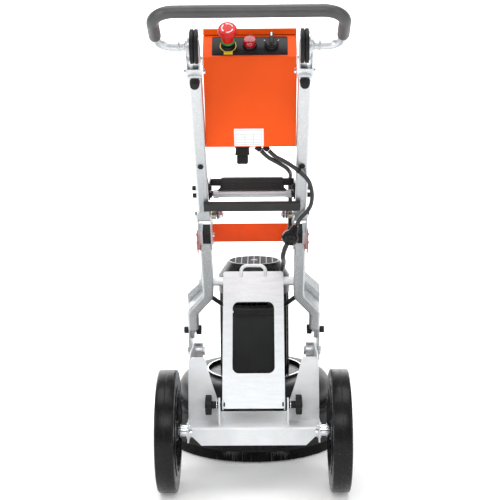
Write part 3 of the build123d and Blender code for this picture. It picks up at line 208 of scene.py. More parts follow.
def zinc(name, colour=(0.66, 0.69, 0.73), roughness=(0.24, 0.42), mottle=0.16,
         streak=(1, 1, 0.12), metallic=0.85):
    """Zinc-plated steel: fine mottled crystals, drawn streaks and cloudy dull patches."""
    n = Nodes(name)
    crystals = n.spread(n.cells(260.0), 0, 1, (0.1, 0.9))
    tone = n.blend(crystals, shade(colour, 1 - mottle), shade(colour, 1 + mottle * 0.5))
    drawn = n.spread(n.noise(240.0, 6.0, n.stretched(streak)), 0, 0.55)
    tone = n.blend(drawn, tone, shade(colour, 0.78))
    cool = n.spread(n.noise(9.0, 3.0), 0, 0.5)
    tone = n.blend(cool, tone, (colour[0] * 0.90, colour[1] * 0.96, colour[2] * 0.99))
    rough = n.spread(n.noise(38.0, 6.0), *roughness)
    n.bump(n.noise(520.0, 4.0), 0.07, edge=0.0010)
    return n.finish(tone, rough, metallic)


def metal(name, colour, roughness=(0.18, 0.34), bump=0.05, vary=0.12):
    """Bare or plated metal with a fine grain."""
    n = Nodes(name)
    grain = n.noise(420.0, 5.0)
    tone = n.blend(n.spread(grain, 0, 1), shade(colour, 1 - vary), shade(colour, 1 + vary))
    rough = n.spread(n.noise(60.0, 5.0), *roughness)
    n.bump(grain, bump, 0.0006)
    return n.finish(tone, rough, 1.0)


def foam(name, colour):
    """Closed-cell foam sleeve: pores with painted shade in their hollows, a faint skin sheen and
    lighter rubbed patches.
    """
    n = Nodes(name)
    pores = n.cells(900.0)
    tone = n.blend(n.spread(n.noise(14.0), 0, 1), shade(colour, 0.82), shade(colour, 1.2))
    # painted shade: the colour darkens towards 0.55 of itself at the pore centres, the hollows that
    # the bump sinks
    tone = n.blend(n.spread(pores, 0.5, 0, (0.0, 0.35)), tone, shade(colour, 0.55))
    rough = n.spread(n.noise(90.0, 5.0), 0.30, 0.42)
    n.bump(pores, 0.25)
    return n.finish(tone, rough)


def rubber(name, colour, roughness, dust, specular=0.5):
    """Moulded rubber with a dusty bloom."""
    n = Nodes(name)
    tone = n.blend(n.spread(n.noise(10.0), 0, 1), shade(colour, 0.8), shade(colour, 1.25))
    bloom = n.spread(n.noise(46.0, 8.0), 0, dust, (0.5, 0.8))
    tone = n.blend(bloom, tone, shade(colour, 2.6))
    rough = n.spread(n.noise(55.0, 5.0), *roughness)
    n.bump(n.noise(700.0, 3.0), 0.12, edge=0.0008)
    return n.finish(tone, rough, Specular_IOR_Level=specular)


def lens(name, colour):
    """Clear tinted plastic over a bright base."""
    n = Nodes(name)
    tone = n.blend(n.spread(n.noise(60.0), 0, 1), shade(colour, 0.7), shade(colour, 1.2))
    rough = n.spread(n.noise(120.0), 0.05, 0.12)
    n.bump(n.noise(300.0), 0.03)
    return n.finish(tone, rough, Transmission_Weight=0.35, IOR=1.49, Coat_Weight=0.6,
                    Coat_Roughness=0.04)


ORANGE = (0.83, 0.086, 0.005)
M = {
    "zinc": zinc("zinc_plated", (0.74, 0.755, 0.765), (0.26, 0.42), 0.16),
    "zinc_sheet": zinc("zinc_sheet", (0.79, 0.805, 0.82), (0.38, 0.5), 0.06, (0.1, 1, 0.1), 0.6),
    "zinc_rough": zinc("zinc_welded", (0.64, 0.65, 0.66), (0.3, 0.5), 0.3),
    "bright": metal("bright_plate", (0.80, 0.82, 0.85), (0.10, 0.22)),
    "steel": metal("turned_steel", (0.62, 0.63, 0.65)),
    "grille_grey": coated("grille_paint", (0.17, 0.17, 0.175), (0.3, 0.4), 0.1, edge=0.0004),
    "glossy_black": coated("glossy_black_rubber", (0.010, 0.010, 0.011), (0.16, 0.26), 0.2, 14.0,
                           900.0, 0.08, specular=0.2),
    "nut_zinc": zinc("nut_zinc", (0.62, 0.64, 0.67), (0.40, 0.5), 0.05, metallic=0.3),
    "bright_sleeve": zinc("bright_sleeve", (0.66, 0.68, 0.71), (0.34, 0.42), 0.04,
                          (0.1, 1, 1), 0.25),
    # the chassis zinc is a lighter, less metallic copy of the sheet zinc: painted light that lifts
    # the deck, which lies in shade under the plate and motor
    "zinc_chassis_painted_light": zinc("zinc_chassis_painted_light", (0.86, 0.87, 0.88), (0.40, 0.54), 0.05,
                         (0.1, 1, 0.1), 0.3),
    "brass": metal("spring_wire", (0.50, 0.45, 0.37), (0.2, 0.34)),
    "iron": metal("machined_iron", (0.30, 0.31, 0.32), (0.35, 0.55), 0.12),
    "orange": coated("orange_powder_coat", ORANGE, (0.40, 0.52), 0.06, 5.0, 1100.0, 0.10,
                     specular=0.16),
    # the lid's coat is the box's own orange, painted darker (0.78 of it) and with less sheen as
    # painted shade
    "orange_lid_painted_shade": coated("lid_coat_painted_shade", shade(ORANGE, 0.78), (0.5, 0.62), 0.06, 5.0, 1100.0,
                         0.10, specular=0.04),
    "orange_gloss": coated("orange_gloss_coat", (0.80, 0.066, 0.004), (0.16, 0.24), 0.12, 9.0,
                           1100.0, 0.05, specular=0.3),
    "black_paint": coated("black_gloss_paint", (0.012, 0.012, 0.013), (0.20, 0.32), 0.2,
                          edge=0.0015, specular=0.22),
    "hood_paint": coated("hood_grey_paint", (0.012, 0.012, 0.013), (0.30, 0.42), 0.12,
                         scuffs=0.1, edge=0.0015, specular=0.22),
    "black_plastic": coated("black_moulded_plastic", (0.014, 0.014, 0.015), (0.36, 0.5), 0.15,
                            12.0, 1500.0, 0.18, specular=0.2),
    "textured_black": coated("grained_black_cover", (0.012, 0.012, 0.0125), (0.42, 0.58), 0.2,
                             10.0, 620.0, 0.55, edge=0.002, specular=0.35),
    "grip_plastic": coated("soft_grip_plastic", (0.022, 0.022, 0.023), (0.4, 0.52), 0.12,
                           9.0, 1300.0, 0.2, specular=0.4),
    "dark_strut": coated("dark_strut_paint", (0.045, 0.046, 0.05), (0.3, 0.45)),
    "foam": foam("handlebar_foam", (0.062, 0.062, 0.064)),
    "tyre": rubber("tyre_rubber", (0.005, 0.005, 0.0055), (0.24, 0.32), 0.02, specular=0.24),
    "rubber": rubber("lead_rubber", (0.022, 0.022, 0.023), (0.36, 0.5), 0.12),
    "bristle": rubber("brush_nylon", (0.005, 0.005, 0.005), (0.4, 0.55), 0.05, specular=0.15),
    "red": coated("red_button_plastic", (0.60, 0.008, 0.006), (0.26, 0.34), 0.08, 20.0,
                  1200.0, 0.05, edge=0.0005, specular=0.35),
    "red_lens": lens("red_lens", (0.60, 0.008, 0.02)),
    "green": coated("green_ring_plastic", (0.03, 0.36, 0.06), (0.3, 0.4), edge=0),
    "yellow": coated("yellow_plastic", (0.83, 0.55, 0.02), (0.32, 0.42), 0.08, edge=0.0003),
    "white": coated("white_print", (0.86, 0.86, 0.85), (0.35, 0.45), 0.03, edge=0),
    "label": coated("label_film", (0.84, 0.85, 0.86), (0.28, 0.36), 0.03, 8.0, edge=0.0002),
    "grey_print": coated("grey_print", (0.30, 0.32, 0.35), (0.4, 0.5), 0.05, edge=0),
    "segment": metal("sintered_segment", (0.34, 0.31, 0.28), (0.5, 0.7), 0.4, vary=0.35),
    "aluminium": metal("cast_aluminium", (0.60, 0.61, 0.62), (0.3, 0.5), 0.15),
}

CAD_LOOKS = {
    "zinc": ["upper_tube_l", "upper_tube_r", "handlebar_tube", "cross_tube", "fold_brackets"],
    "zinc_rough": ["lower_tube_l", "lower_tube_r", "side_arm_l", "side_arm_r"],
    "zinc_sheet": ["rear_plate"],
    # the chassis takes the lighter zinc copy, as painted light on its shaded deck
    "zinc_chassis_painted_light": ["chassis"],
    "bright": ["frame_fasteners"],
    "steel": ["axle", "rotor_shaft", "motor_bearings"],
    "aluminium": ["bushes"],
    "iron": ["grinding_disc", "stator"],
    "segment": ["tool_segments"],
    "orange": ["control_box"],
    # the lid takes the darker copy of the orange coat, as painted shade
    "orange_lid_painted_shade": ["box_lid"],
    "orange_gloss": ["link_band"],
    "black_paint": ["grip_frame", "motor_body", "fan_cover", "hood_collar", "skirt_shell"],
    "hood_paint": ["hood"],
    "dark_strut": ["motor_struts"],
    "black_plastic": ["end_blocks", "terminal_box", "cooling_fan", "dust_port",
                      "plate_knob_l", "plate_knob_r", "handle_fasteners"],
    "grip_plastic": ["latch_lever"],
    "rubber": ["motor_lead"],
}
for look, names in CAD_LOOKS.items():
    for node_name in names:
        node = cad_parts[node_name]
        node.data.materials.clear()
        node.data.materials.append(M[look])


# ---------- mesh helpers
def added(name, data):
    obj = bpy.data.objects.new(name, data)
    bpy.context.scene.collection.objects.link(obj)
    return obj


def piece(name, shape, look, body, stands_for=(), sharp=32.0):
    """Builds a shape and links it as one named piece of the object."""
    mesh = mesh_of(shape, name)
    mesh.set_sharp_from_angle(angle=math.radians(sharp))
    mesh.materials.append(M[look])
    obj = added(name, mesh)
    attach(obj, body)
    if stands_for:
        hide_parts(*stands_for)
    return obj


def mesh_of(shape, name):
    """A mesh in metres from shape(bm), with its faces turned outward."""
    bm = bmesh.new()
    shape(bm)
    bmesh.ops.remove_doubles(bm, verts=bm.verts, dist=1e-7)
    bmesh.ops.recalc_face_normals(bm, faces=bm.faces)
    mesh = bpy.data.meshes.new(name)
    bm.to_mesh(mesh)
    bm.free()
    mesh.shade_smooth()
    return mesh


def turned(profile, matrix, steps=96, ripple=None, closed=False):
    """Adds a profile of (radius, height) in mm turned round the matrix's Z. ripple = (count,
    depth, least radius) cuts flutes into the wider rings."""
    def build(bm):
        rings = []
        for radius, height in profile:
            if radius < 1e-6:
                rings.append([bm.verts.new(matrix @ Vector((0, 0, height * MM)))])
                continue
            ring = []
            for step in range(steps):
                angle = math.tau * step / steps
                r = radius
                if ripple and radius >= ripple[2]:
                    r -= ripple[1] * (0.5 - 0.5 * math.cos(angle * ripple[0]))
                ring.append(bm.verts.new(matrix @ polar(r, angle, height)))
            rings.append(ring)
        pairs = list(zip(rings, rings[1:])) + ([(rings[-1], rings[0])] if closed else [])
        for first, second in pairs:
            join_rings(bm, first, second)
        if not closed:
            for ring in (rings[0], rings[-1]):
                if len(ring) > 1:
                    bm.faces.new(ring)
    return build


def ring_of(inner, outer, low, high, matrix, steps=48):
    """A plain washer, or a plain disc where inner is 0."""
    return turned([(inner, low), (outer, low), (outer, high), (inner, high)], matrix, steps,
                  closed=inner > 0)


def join_rings(bm, first, second):
    count = max(len(first), len(second))
    for i in range(count):
        j = (i + 1) % count
        if len(first) == 1:
            bm.faces.new((first[0], second[i], second[j]))
        elif len(second) == 1:
            bm.faces.new((first[i], first[j], second[0]))
        else:
            bm.faces.new((first[i], first[j], second[j], second[i]))


def tube_along(points, radius, sides=20, radii=None):
    """A round tube through points in mm, with radii one per point if given."""
    points = [Vector(p) for p in points]

    def build(bm):
        tangents = []
        for i in range(len(points)):
            before = points[max(i - 1, 0)]
            after = points[min(i + 1, len(points) - 1)]
            tangents.append((after - before).normalized())
        normal = tangents[0].orthogonal().normalized()
        rings = []
        for i, point in enumerate(points):
            normal = (normal - tangents[i] * normal.dot(tangents[i])).normalized()
            side = tangents[i].cross(normal)
            r = radii[i] if radii else radius
            ring = []
            for k in range(sides):
                a = math.tau * k / sides
                ring.append(bm.verts.new((point + (normal * math.cos(a) + side * math.sin(a)) * r)
                                         * MM))
            rings.append(ring)
        for first, second in zip(rings, rings[1:]):
            join_rings(bm, first, second)
        bm.faces.new(rings[0])
        bm.faces.new(rings[-1])
    return build


def block(size, matrix, bevel=1.0, segments=3):
    """A box with rounded edges, centred on the matrix, in mm."""
    def build(bm):
        made = bmesh.ops.create_cube(bm, size=1.0)["verts"]
        bmesh.ops.scale(bm, vec=Vector(size) * MM, verts=made)
        edges = list({e for v in made for e in v.link_edges})
        out = bmesh.ops.bevel(bm, geom=edges, offset=bevel * MM, segments=segments, affect="EDGES",
                              profile=0.5)
        verts = set(made) | set(out["verts"])
        bmesh.ops.transform(bm, matrix=matrix, verts=[v for v in verts if v.is_valid])
    return build


def plate_of(outline, thickness, matrix, bevel, segments=2):
    """A flat sheet: outline points (x, y) in mm, pulled up along the matrix's Z."""
    def build(bm):
        face = bm.faces.new([bm.verts.new(Vector((x * MM, y * MM, 0))) for x, y in outline])
        out = bmesh.ops.extrude_face_region(bm, geom=[face])
        top = [g for g in out["geom"] if isinstance(g, bmesh.types.BMVert)]
        bmesh.ops.translate(bm, vec=Vector((0, 0, thickness * MM)), verts=top)
        whole = [face] + [g for g in out["geom"] if isinstance(g, bmesh.types.BMFace)]
        verts = {v for f in whole for v in f.verts}
        edges = [e for f in whole for e in f.edges]
        made = bmesh.ops.bevel(bm, geom=list(set(edges)), offset=bevel * MM, segments=segments,
                               affect="EDGES", profile=0.5)
        verts |= set(made["verts"])
        bmesh.ops.transform(bm, matrix=matrix, verts=[v for v in verts if v.is_valid])
    return build


def together(*shapes):
    """Several shapes as one, each with its own faces turned outward."""
    def build(bm):
        for shape in shapes:
            part = bmesh.new()
            shape(part)
            bmesh.ops.recalc_face_normals(part, faces=part.faces)
            mesh = bpy.data.meshes.new("part")
            part.to_mesh(mesh)
            part.free()
            bm.from_mesh(mesh)
            bpy.data.meshes.remove(mesh)
    return build


def rounded(outline, radius):
    """The outline with each corner cut to a curve."""
    steps = 5
    points = [Vector(p) for p in outline]
    result = []
    for i, corner in enumerate(points):
        before = points[i - 1] - corner
        after = points[(i + 1) % len(points)] - corner
        reach = min(radius, before.length * 0.45, after.length * 0.45)
        start = corner + before.normalized() * reach
        end = corner + after.normalized() * reach
        for k in range(steps + 1):
            t = k / steps
            result.append(tuple(start * (1 - t) ** 2 + corner * 2 * t * (1 - t) + end * t * t))
    return result


def filleted(points, radii, step=4.0):
    """Points in mm along a polyline with its corners rounded to the radii."""
    points = [Vector(p) for p in points]
    route = [points[0]]
    for i in range(1, len(points) - 1):
        corner = points[i]
        back = (points[i - 1] - corner).normalized()
        ahead = (points[i + 1] - corner).normalized()
        half = (math.pi - back.angle(ahead)) / 2
        reach = radii[i - 1] * math.tan(half)
        start = corner + back * reach
        centre = corner + (back + ahead).normalized() * radii[i - 1] / math.cos(half)
        arm = start - centre
        axis = back.cross(ahead).normalized()
        count = max(3, int(2 * half * radii[i - 1] / step))
        for k in range(count + 1):
            route.append(centre + Matrix.Rotation(-2 * half * k / count, 3, axis) @ arm)
    route.append(points[-1])
    return subdivided(route, step)


def subdivided(route, step):
    """The route with points added so that none is much more than a step from the next."""
    fine = [route[0]]
    for a, b in zip(route, route[1:]):
        parts = max(1, int((b - a).length / step))
        fine += [a.lerp(b, (k + 1) / parts) for k in range(parts)]
    return fine


# ---------- handlebar
def handlebar():
    rise = math.radians(27.7)
    up = Vector((0, -math.cos(rise), math.sin(rise)))
    origin = upper_point(0, KNUCKLE_T, 0)

    def bar(x, reach):
        return origin + Vector((x, 0, 0)) + up * reach

    half, reach, foam_start, bend_r, foam_r = 193.5, 140, 38, 46, 13.0
    corners = [bar(half, foam_start), bar(half, reach), bar(-half, reach), bar(-half, foam_start)]
    route = filleted(corners, [bend_r, bend_r], 3.0)
    last = len(route) - 1
    radii = [foam_r - 2.6 * max(0, 1 - min(i, last - i) / 2.5) ** 2 for i in range(last + 1)]
    piece("foam_sleeve", tube_along(route, foam_r, 40, radii), "foam", "handlebar",
          ["foam_grip"], 50)
    for side, tag in SIDES:
        weld = outward((side * 146, origin.y, origin.z), side)
        shape = turned([(9.6, -1), (12.6, -0.6), (12.2, 0.8), (11.0, 2.2), (9.6, 3.0)], weld, 64,
                       (22, 0.5, 10.5), closed=True)
        piece(f"bar_weld_{tag}", shape, "zinc_rough", "handlebar")


# ---------- knuckles and clamps
def tooth_ring(matrix, inner, outer, count, height):
    """Radial teeth on a disc's face, as on a toothed joint."""
    def build(bm):
        for k in range(count):
            a = math.tau * k / count
            w = math.tau / count / 2
            low = [matrix @ polar(r, a + s * w)
                   for r, s in ((inner, -1), (inner, 1), (outer, 1), (outer, -1))]
            high = [matrix @ polar(r, a, height) for r in (inner, outer)]
            v = [bm.verts.new(p) for p in low + high]
            for loop in ((0, 3, 5, 4), (1, 4, 5, 2), (0, 4, 1), (3, 2, 5), (0, 1, 2, 3)):
                bm.faces.new([v[i] for i in loop])
    return build


def knuckles():
    centre = upper_point(0, KNUCKLE_T, 0)
    rim_r = KNUCKLE_R + 2.2
    inner_x, teeth_x, outer_x = 106.8, 115.1, 124.4
    for side, tag in SIDES:
        inner = outward((side * inner_x, centre.y, centre.z), side)
        disc = [(0, 0), (rim_r - 1.6, 0), (rim_r - 0.5, 0.5), (rim_r, 1.6), (rim_r, 7.0),
                (rim_r - 0.5, 7.8), (rim_r - 1.8, 8.3), (27, 8.4), (0, 8.4)]
        piece(f"knuckle_inner_{tag}", turned(disc, inner, 128), "black_plastic", "handle")
        outer = outward((side * outer_x, centre.y, centre.z), -side)
        piece(f"knuckle_outer_{tag}", turned(disc, outer, 128), "black_plastic", "handlebar")
        boss = [(0, -21.5), (9.5, -21.5), (9.5, -12), (12, -10), (14, -8.6), (20, -8.4),
                (20.4, -8), (20.4, -4.4), (29.6, -4.2), (30.2, -3.6), (30.2, 0), (0, 0)]
        piece(f"bar_boss_{tag}", turned(boss, outer, 64), "zinc", "handlebar")
        teeth = outward((side * teeth_x, centre.y, centre.z), side)
        piece(f"knuckle_teeth_{tag}", tooth_ring(teeth, 14, 26.5, 48, 0.9), "black_plastic",
              "handle")
        bracket(side, tag)
        clamp_knob(side, tag)


def bracket(side, tag):
    """Zinc fork that carries one knuckle: clamp band, two cheeks, bolt heads, a folded lug."""
    band_low, band_high = UPPER_TOP_T - 10.5, UPPER_TOP_T + 1.5
    parts = []
    for x in (TUBE_X - 11.2, TUBE_X + 15.3):
        cheek = frame_at(upper_point(side * x, 0, 0), (1, 0, 0), UPPER_UP)
        outline = [(band_low, -20), (band_high, -22), (KNUCKLE_T - 16, -19)]
        for k in range(9):
            a = -math.pi / 2 + math.pi * k / 8
            outline.append((KNUCKLE_T + 4 + 17 * math.cos(a), 17 * math.sin(a)))
        outline += [(KNUCKLE_T - 16, 19), (band_high, 22), (band_low, 20)]
        parts.append(plate_of(outline, 2.6, cheek @ shifted(0, 0, -1.3), 0.6))
    for behind in (TUBE_D / 2 + 1.7, -TUBE_D / 2 - 1.7):
        at = frame_at(upper_point(side * TUBE_X, (band_low + band_high) / 2, behind), UPPER_BACK)
        parts.append(block((35, 25, 2.8), at, 0.9))
    lug = frame_at(upper_point(side * TUBE_X, band_low + 1, TUBE_D / 2 + 5), UPPER_BACK)
    parts.append(block((30, 6, 7), lug, 2.0))
    cap = frame_at(upper_point(side * TUBE_X, UPPER_TOP_T + 3.0, 0), UPPER_UP)
    parts.append(block((31, 42, 3), cap, 0.8))
    piece(f"knuckle_bracket_{tag}", together(*parts), "zinc", "handle")
    head = [(0, 0), (6.4, 0), (6.4, 0.9), (5.6, 1.1), (5.6, 4.2), (4.8, 5), (0, 5)]
    bolts = []
    for out in (-1, 1):
        spot = upper_point(side * (TUBE_X + 18 * out), UPPER_TOP_T - 5, 12)
        bolts.append(turned(head, frame_at(spot, (side * out, 0, 0), UPPER_UP), 6))
    piece(f"bracket_bolts_{tag}", together(*bolts), "bright", "handle")


def clamp_knob(side, tag):
    body = "clamp_right" if side > 0 else "clamp_left"
    at = frame_at(upper_point(side * TUBE_X, CLAMP_T, TUBE_D / 2 + 0.4), UPPER_BACK)
    head = [(0, 0), (9.0, 0), (9.0, 3), (11.2, 4), (11.4, 6), (11.0, 8), (10.4, 15), (9.6, 20),
            (8.6, 21.6), (7.0, 22), (0, 22)]
    piece(f"knurled_knob_{tag}", turned(head, at, 144, (18, 1.1, 9.4)), "black_plastic",
          body, [f"clamp_knob_{tag}"], 40)


# ---------- panel devices
def arrow_arc(matrix, radius, width, start, sweep, height, head):
    """A raised printed arc with an arrow head; start, sweep and head are in degrees."""
    def build(bm):
        steps = 14
        rows = [(math.radians(start + sweep * k / steps), width / 2) for k in range(steps + 1)]
        end = math.radians(start + sweep)
        arrow = [(end, width * 1.05), (end + math.radians(head), 0.05)]
        bands = list(zip(rows, rows[1:])) + [tuple(arrow)]
        for (a0, w0), (a1, w1) in bands:
            corners = [(radius - w0, a0), (radius + w0, a0), (radius + w1, a1), (radius - w1, a1)]
            low = [bm.verts.new(matrix @ polar(r, a)) for r, a in corners]
            high = [bm.verts.new(matrix @ polar(r, a, height)) for r, a in corners]
            sides = [(low[i], low[(i + 1) % 4], high[(i + 1) % 4], high[i]) for i in range(4)]
            for loop in ((low[3], low[2], low[1], low[0]), tuple(high), *sides):
                bm.faces.new(loop)
    return build


def emergency_stop():
    at = on_panel(ESTOP_X)
    head = [(0, 21.5), (12.4, 21.5), (13.0, 22.3), (13.2, 28), (13.8, 36), (14.6, 43.6),
            (15.6, 45.4), (19.4, 46.0), (20.7, 46.8), (21.2, 48.2), (21.2, 52.0), (20.7, 54.4),
            (19.4, 56.9), (17.8, 58.4), (16.4, 59.0), (15.4, 58.7), (14.6, 59.0), (9.0, 59.6),
            (0, 59.9)]
    piece("mushroom_head", turned(head, at, 144, (36, 0.35, 19.5)), "red", "estop",
          ["estop_button"], 40)
    shape = turned([(12.0, 17.6), (14.2, 17.6), (14.4, 18.2), (14.4, 20.6), (14.0, 21.4),
                    (12.0, 21.4)], at, 96, closed=True)
    piece("green_state_ring", shape, "green", "estop")
    piece("stop_stem", ring_of(0, 11.4, 6.6, 22, at, 64), "black_plastic", "estop")
    top = on_panel(ESTOP_X, 0, 58.9)
    arcs = [arrow_arc(top, 11.8, 2.0, start, 76, 0.75, 20) for start in (15, 135, 255)]
    piece("turn_arrows", together(*arcs), "white", "estop")
    collar = [(12.5, 1.2), (16.6, 1.2), (16.6, 3.0), (15.9, 3.6), (15.9, 5), (15.2, 5.6), (15.2, 9),
              (14.6, 10.6), (13.2, 11.2), (12.5, 11.2)]
    piece("stop_collar", turned(collar, at, 96, (24, 0.5, 15.8), closed=True), "black_paint",
          "handle", ["panel_collars"])
    washer = [(16.0, 1.3), (17.9, 1.3), (18.0, 1.8), (16.0, 2.0)]
    piece("yellow_stop_ring", turned(washer, at, 96, closed=True), "yellow", "handle")
    tag = on_panel(ESTOP_X + 0.5, -20.0, 1.9)
    piece("yellow_tag", block((19, 8.5, 1.4), tag, 0.5), "yellow", "handle")


def pilot_and_selector():
    at = on_panel(0)
    bezel = [(0, 1.2), (15.0, 1.2), (15.2, 1.8), (15.2, 7.2), (14.6, 8.4), (13.9, 9.0), (0, 9.0)]
    piece("pilot_base", turned(bezel, at, 96, (32, 0.35, 15.1)), "black_paint", "handle")
    glass = [(0, 9.0), (13.9, 9.0), (14.1, 10), (14.0, 18.0), (13.3, 20.2), (11.6, 21.4), (8, 22.2),
             (0, 22.6)]
    piece("pilot_lens", turned(glass, at, 144, (48, 0.3, 13.8)), "red_lens", "handle",
          ["pilot_light"], 40)
    at = on_panel(SELECTOR_X)
    base = [(5.3, 1.2), (15.4, 1.2), (15.6, 1.8), (15.6, 7.6), (15.0, 8.8), (13.6, 9.6), (5.3, 9.6)]
    piece("selector_base", turned(base, at, 96, (32, 0.35, 15.3), closed=True), "black_paint",
          "handle")
    skirt = [(0, 10.4), (14.0, 10.4), (14.2, 11), (13.6, 13.4), (12.4, 14.6), (0, 14.8)]
    lever = block((8.4, 30, 11.6), on_panel(SELECTOR_X, 2, 19.6), 1.8, 4)
    stem = ring_of(0, 4.9, 2.2, 11, at, 32)
    piece("selector_lever", together(turned(skirt, at, 96, (24, 0.4, 13)), lever, stem),
          "black_paint", "selector", ["selector_knob"])
    tip = on_panel(SELECTOR_X, 12.2, 25.4)
    piece("selector_pointer", block((3.2, 9.4, 0.7), tip, 0.25), "white", "selector")
    ticks = []
    for angle in (-45, 0, 45):
        a = math.radians(90 + angle)
        along = Vector((math.cos(a), 0, 0)) + PANEL_UP * math.sin(a)
        at = on_panel(SELECTOR_X + 20.5 * math.cos(a), 20.5 * math.sin(a), 1.35, along)
        ticks.append(block((4.4, 1.1, 0.3), at, 0.1, 1))
    piece("selector_ticks", together(*ticks), "white", "handle")
    rim = rounded([(-82, -25.5), (82, -25.5), (82, 25.5), (-82, 25.5)], 3.0)
    at = on_panel(0, 0, 0.25)
    piece("panel_face", plate_of(rim, 0.9, at, 0.3), "black_paint", "handle",
          ["panel_plate"])


def rating_plate():
    """A blank white plate with a plain ruled grid near the box's lower edge."""
    low, high = Vector((0, -229, 850)), Vector((0, -329, 1050))
    up = (high - low).normalized()
    out = Vector((0, -up.z, up.y))
    centre = low + up * 25 + Vector((-4.5, 0, 0)) + out * 0.35
    at = frame_at(centre, out)
    outline = rounded([(-33.5, -22.5), (33.5, -22.5), (33.5, 22.5), (-33.5, 22.5)], 1.5)
    piece("rating_plate", plate_of(outline, 0.5, at, 0.15), "label", "handle")
    rules = [block((59, 0.45, 0.12), at @ shifted(0, y, 0.55), 0.03, 1)
             for y in (18.5, 8, 1, -6, -13, -18.5)]
    rules += [block((0.45, tall, 0.12), at @ shifted(x, y, 0.55), 0.03, 1)
              for x, y, tall in ((-29.5, 0, 37), (29.5, 0, 37), (-9, -5.2, 26.5), (10, -5.2, 26.5))]
    piece("rating_rules", together(*rules), "grey_print", "handle")


def box_underside():
    """Mains inlet with its connector, and the two glands, in place of the plain fittings."""
    x, y = -20, -204
    down = (0, 0, -1)
    parts = [block((34, 36, 3), frame_at((x, y, BOX_FLOOR - 1.9), down), 1.0),
             block((31, 33, 17), frame_at((x, y, BOX_FLOOR - 11.5), down), 2.2),
             block((25, 27, 22), frame_at((x, y, BOX_FLOOR - 29.5), down), 3.0),
             block((33, 8, 6), frame_at((x, y - 14, BOX_FLOOR - 17), down), 1.5)]
    for k in range(5):
        parts.append(block((26.4, 28.4, 1.3), frame_at((x, y, BOX_FLOOR - 24 - 3 * k), down), 0.5))
    piece("mains_connector", together(*parts), "black_plastic", "handle",
          ["box_fittings"])
    profile = [(0, 5.8), (8.2, 5.8), (8.2, 9.4), (7.4, 9.8), (7.4, 12.8), (7.0, 14), (6.6, 17),
               (5.4, 19.4), (0, 19.9)]
    for place, tag in ((GLAND_A, "a"), (GLAND_B, "b")):
        gland = turned(profile, frame_at(place, GLAND_OUT, (0, 1, 0)), 72, (9, 0.7, 6.8))
        piece(f"lead_gland_{tag}", gland, "black_plastic", "handle")


# ---------- fold area
def springs():
    """Two wound springs on the pivot bolts, with their legs, washers and lock nuts."""
    turns, per_turn, wire, radius = 5, 28, 1.15, 10.2
    near_x, far_x = 87.4, 98.0
    steps = turns * per_turn
    for side, tag in SIDES:
        route = []
        for k in range(steps + 1):
            a = math.tau * k / per_turn
            x = near_x + (far_x - near_x) * k / steps
            route.append((side * x, PIVOT.y + radius * math.cos(a), PIVOT.z + radius * math.sin(a)))
        leg = Vector(route[-1]) + Vector((0, 1, -26))
        route += [tuple(Vector(route[-1]).lerp(leg, 0.3)), tuple(leg)]
        stands_for = ["torsion_springs"] if side == 1 else []
        piece(f"torsion_spring_{tag}", tube_along(route, wire, 10), "brass", "frame",
              stands_for, 60)
        nut = outward((side * 80.6, PIVOT.y, PIVOT.z), -side)
        shape = together(ring_of(0, 10.6, 0, 1.4, nut),
                         turned([(0, 1.4), (9.0, 1.4), (9.0, 6.4), (8, 7.4), (0, 7.4)], nut, 6),
                         turned([(0, 7), (5.9, 7), (5.9, 10.2), (5.2, 11), (0, 11)], nut, 32))
        piece(f"pivot_nut_{tag}", shape, "nut_zinc", "frame")


def fold_grip():
    """Padded carrying bar with a bright tie tube, its collars and the slanted pad lip."""
    bar = block((200.2, 13.6, 17.6), shifted(0, -54, 753), 2.4)
    pad_back = frame_at((0, -54, 0), (0, -1, 0)) @ shifted(0, 0, -12)
    pad = rounded([(-78, 739), (-76.5, 762), (-72, 764.5), (72, 764.5), (76.5, 762), (78, 739)], 3)
    piece("padded_grip", together(bar, plate_of(pad, 24, pad_back, 2.2, 3)), "grip_plastic",
          "handle", ["fold_grip"])
    ribs = [block((150, 1.4, 1.2), shifted(0, -66.2, z), 0.4, 1) for z in (742, 748, 754)]
    piece("grip_ribs", together(*ribs), "grip_plastic", "handle")
    lip = [(-77, 3), (77, 3), (86, -6), (-86, -6)]
    slant = frame_at((0, -62.5, 738), (0, -0.93, 0.36))
    piece("pad_lip", plate_of(lip, 2.2, slant, 0.6), "grip_plastic", "handle")
    sleeve = [(0, -92), (8.0, -92), (8.2, -91), (8.2, 91), (8.0, 92), (0, 92)]
    parts = [turned(sleeve, outward((0, -60, 724.5), 1), 48)]
    collar = [(8.0, 0), (10.2, 0.4), (10.2, 13.6), (8.0, 14)]
    for x in (-95, 81):
        parts.append(turned(collar, outward((x, -60, 724.5), 1), 48, closed=True))
    piece("tie_sleeve", together(*parts), "bright_sleeve", "handle")


def bracket_flanges():
    """Zinc return flanges that close the outer brackets beside the end blocks."""
    lean = math.radians(32)
    up = Vector((0, -math.sin(lean), math.cos(lean)))
    back = Vector((0, -math.cos(lean), -math.sin(lean)))
    for side, tag in SIDES:
        outside = Vector((side * 127.4, -47, 650))
        rear_face = block((9, 34, 2.6), frame_at(outside + up * -33 + back * 19.6, back), 0.8)
        top_face = block((9, 41, 2.6), frame_at(outside + up * -15.4, up), 0.8)
        piece(f"bracket_flange_{tag}", together(rear_face, top_face), "nut_zinc", "frame")


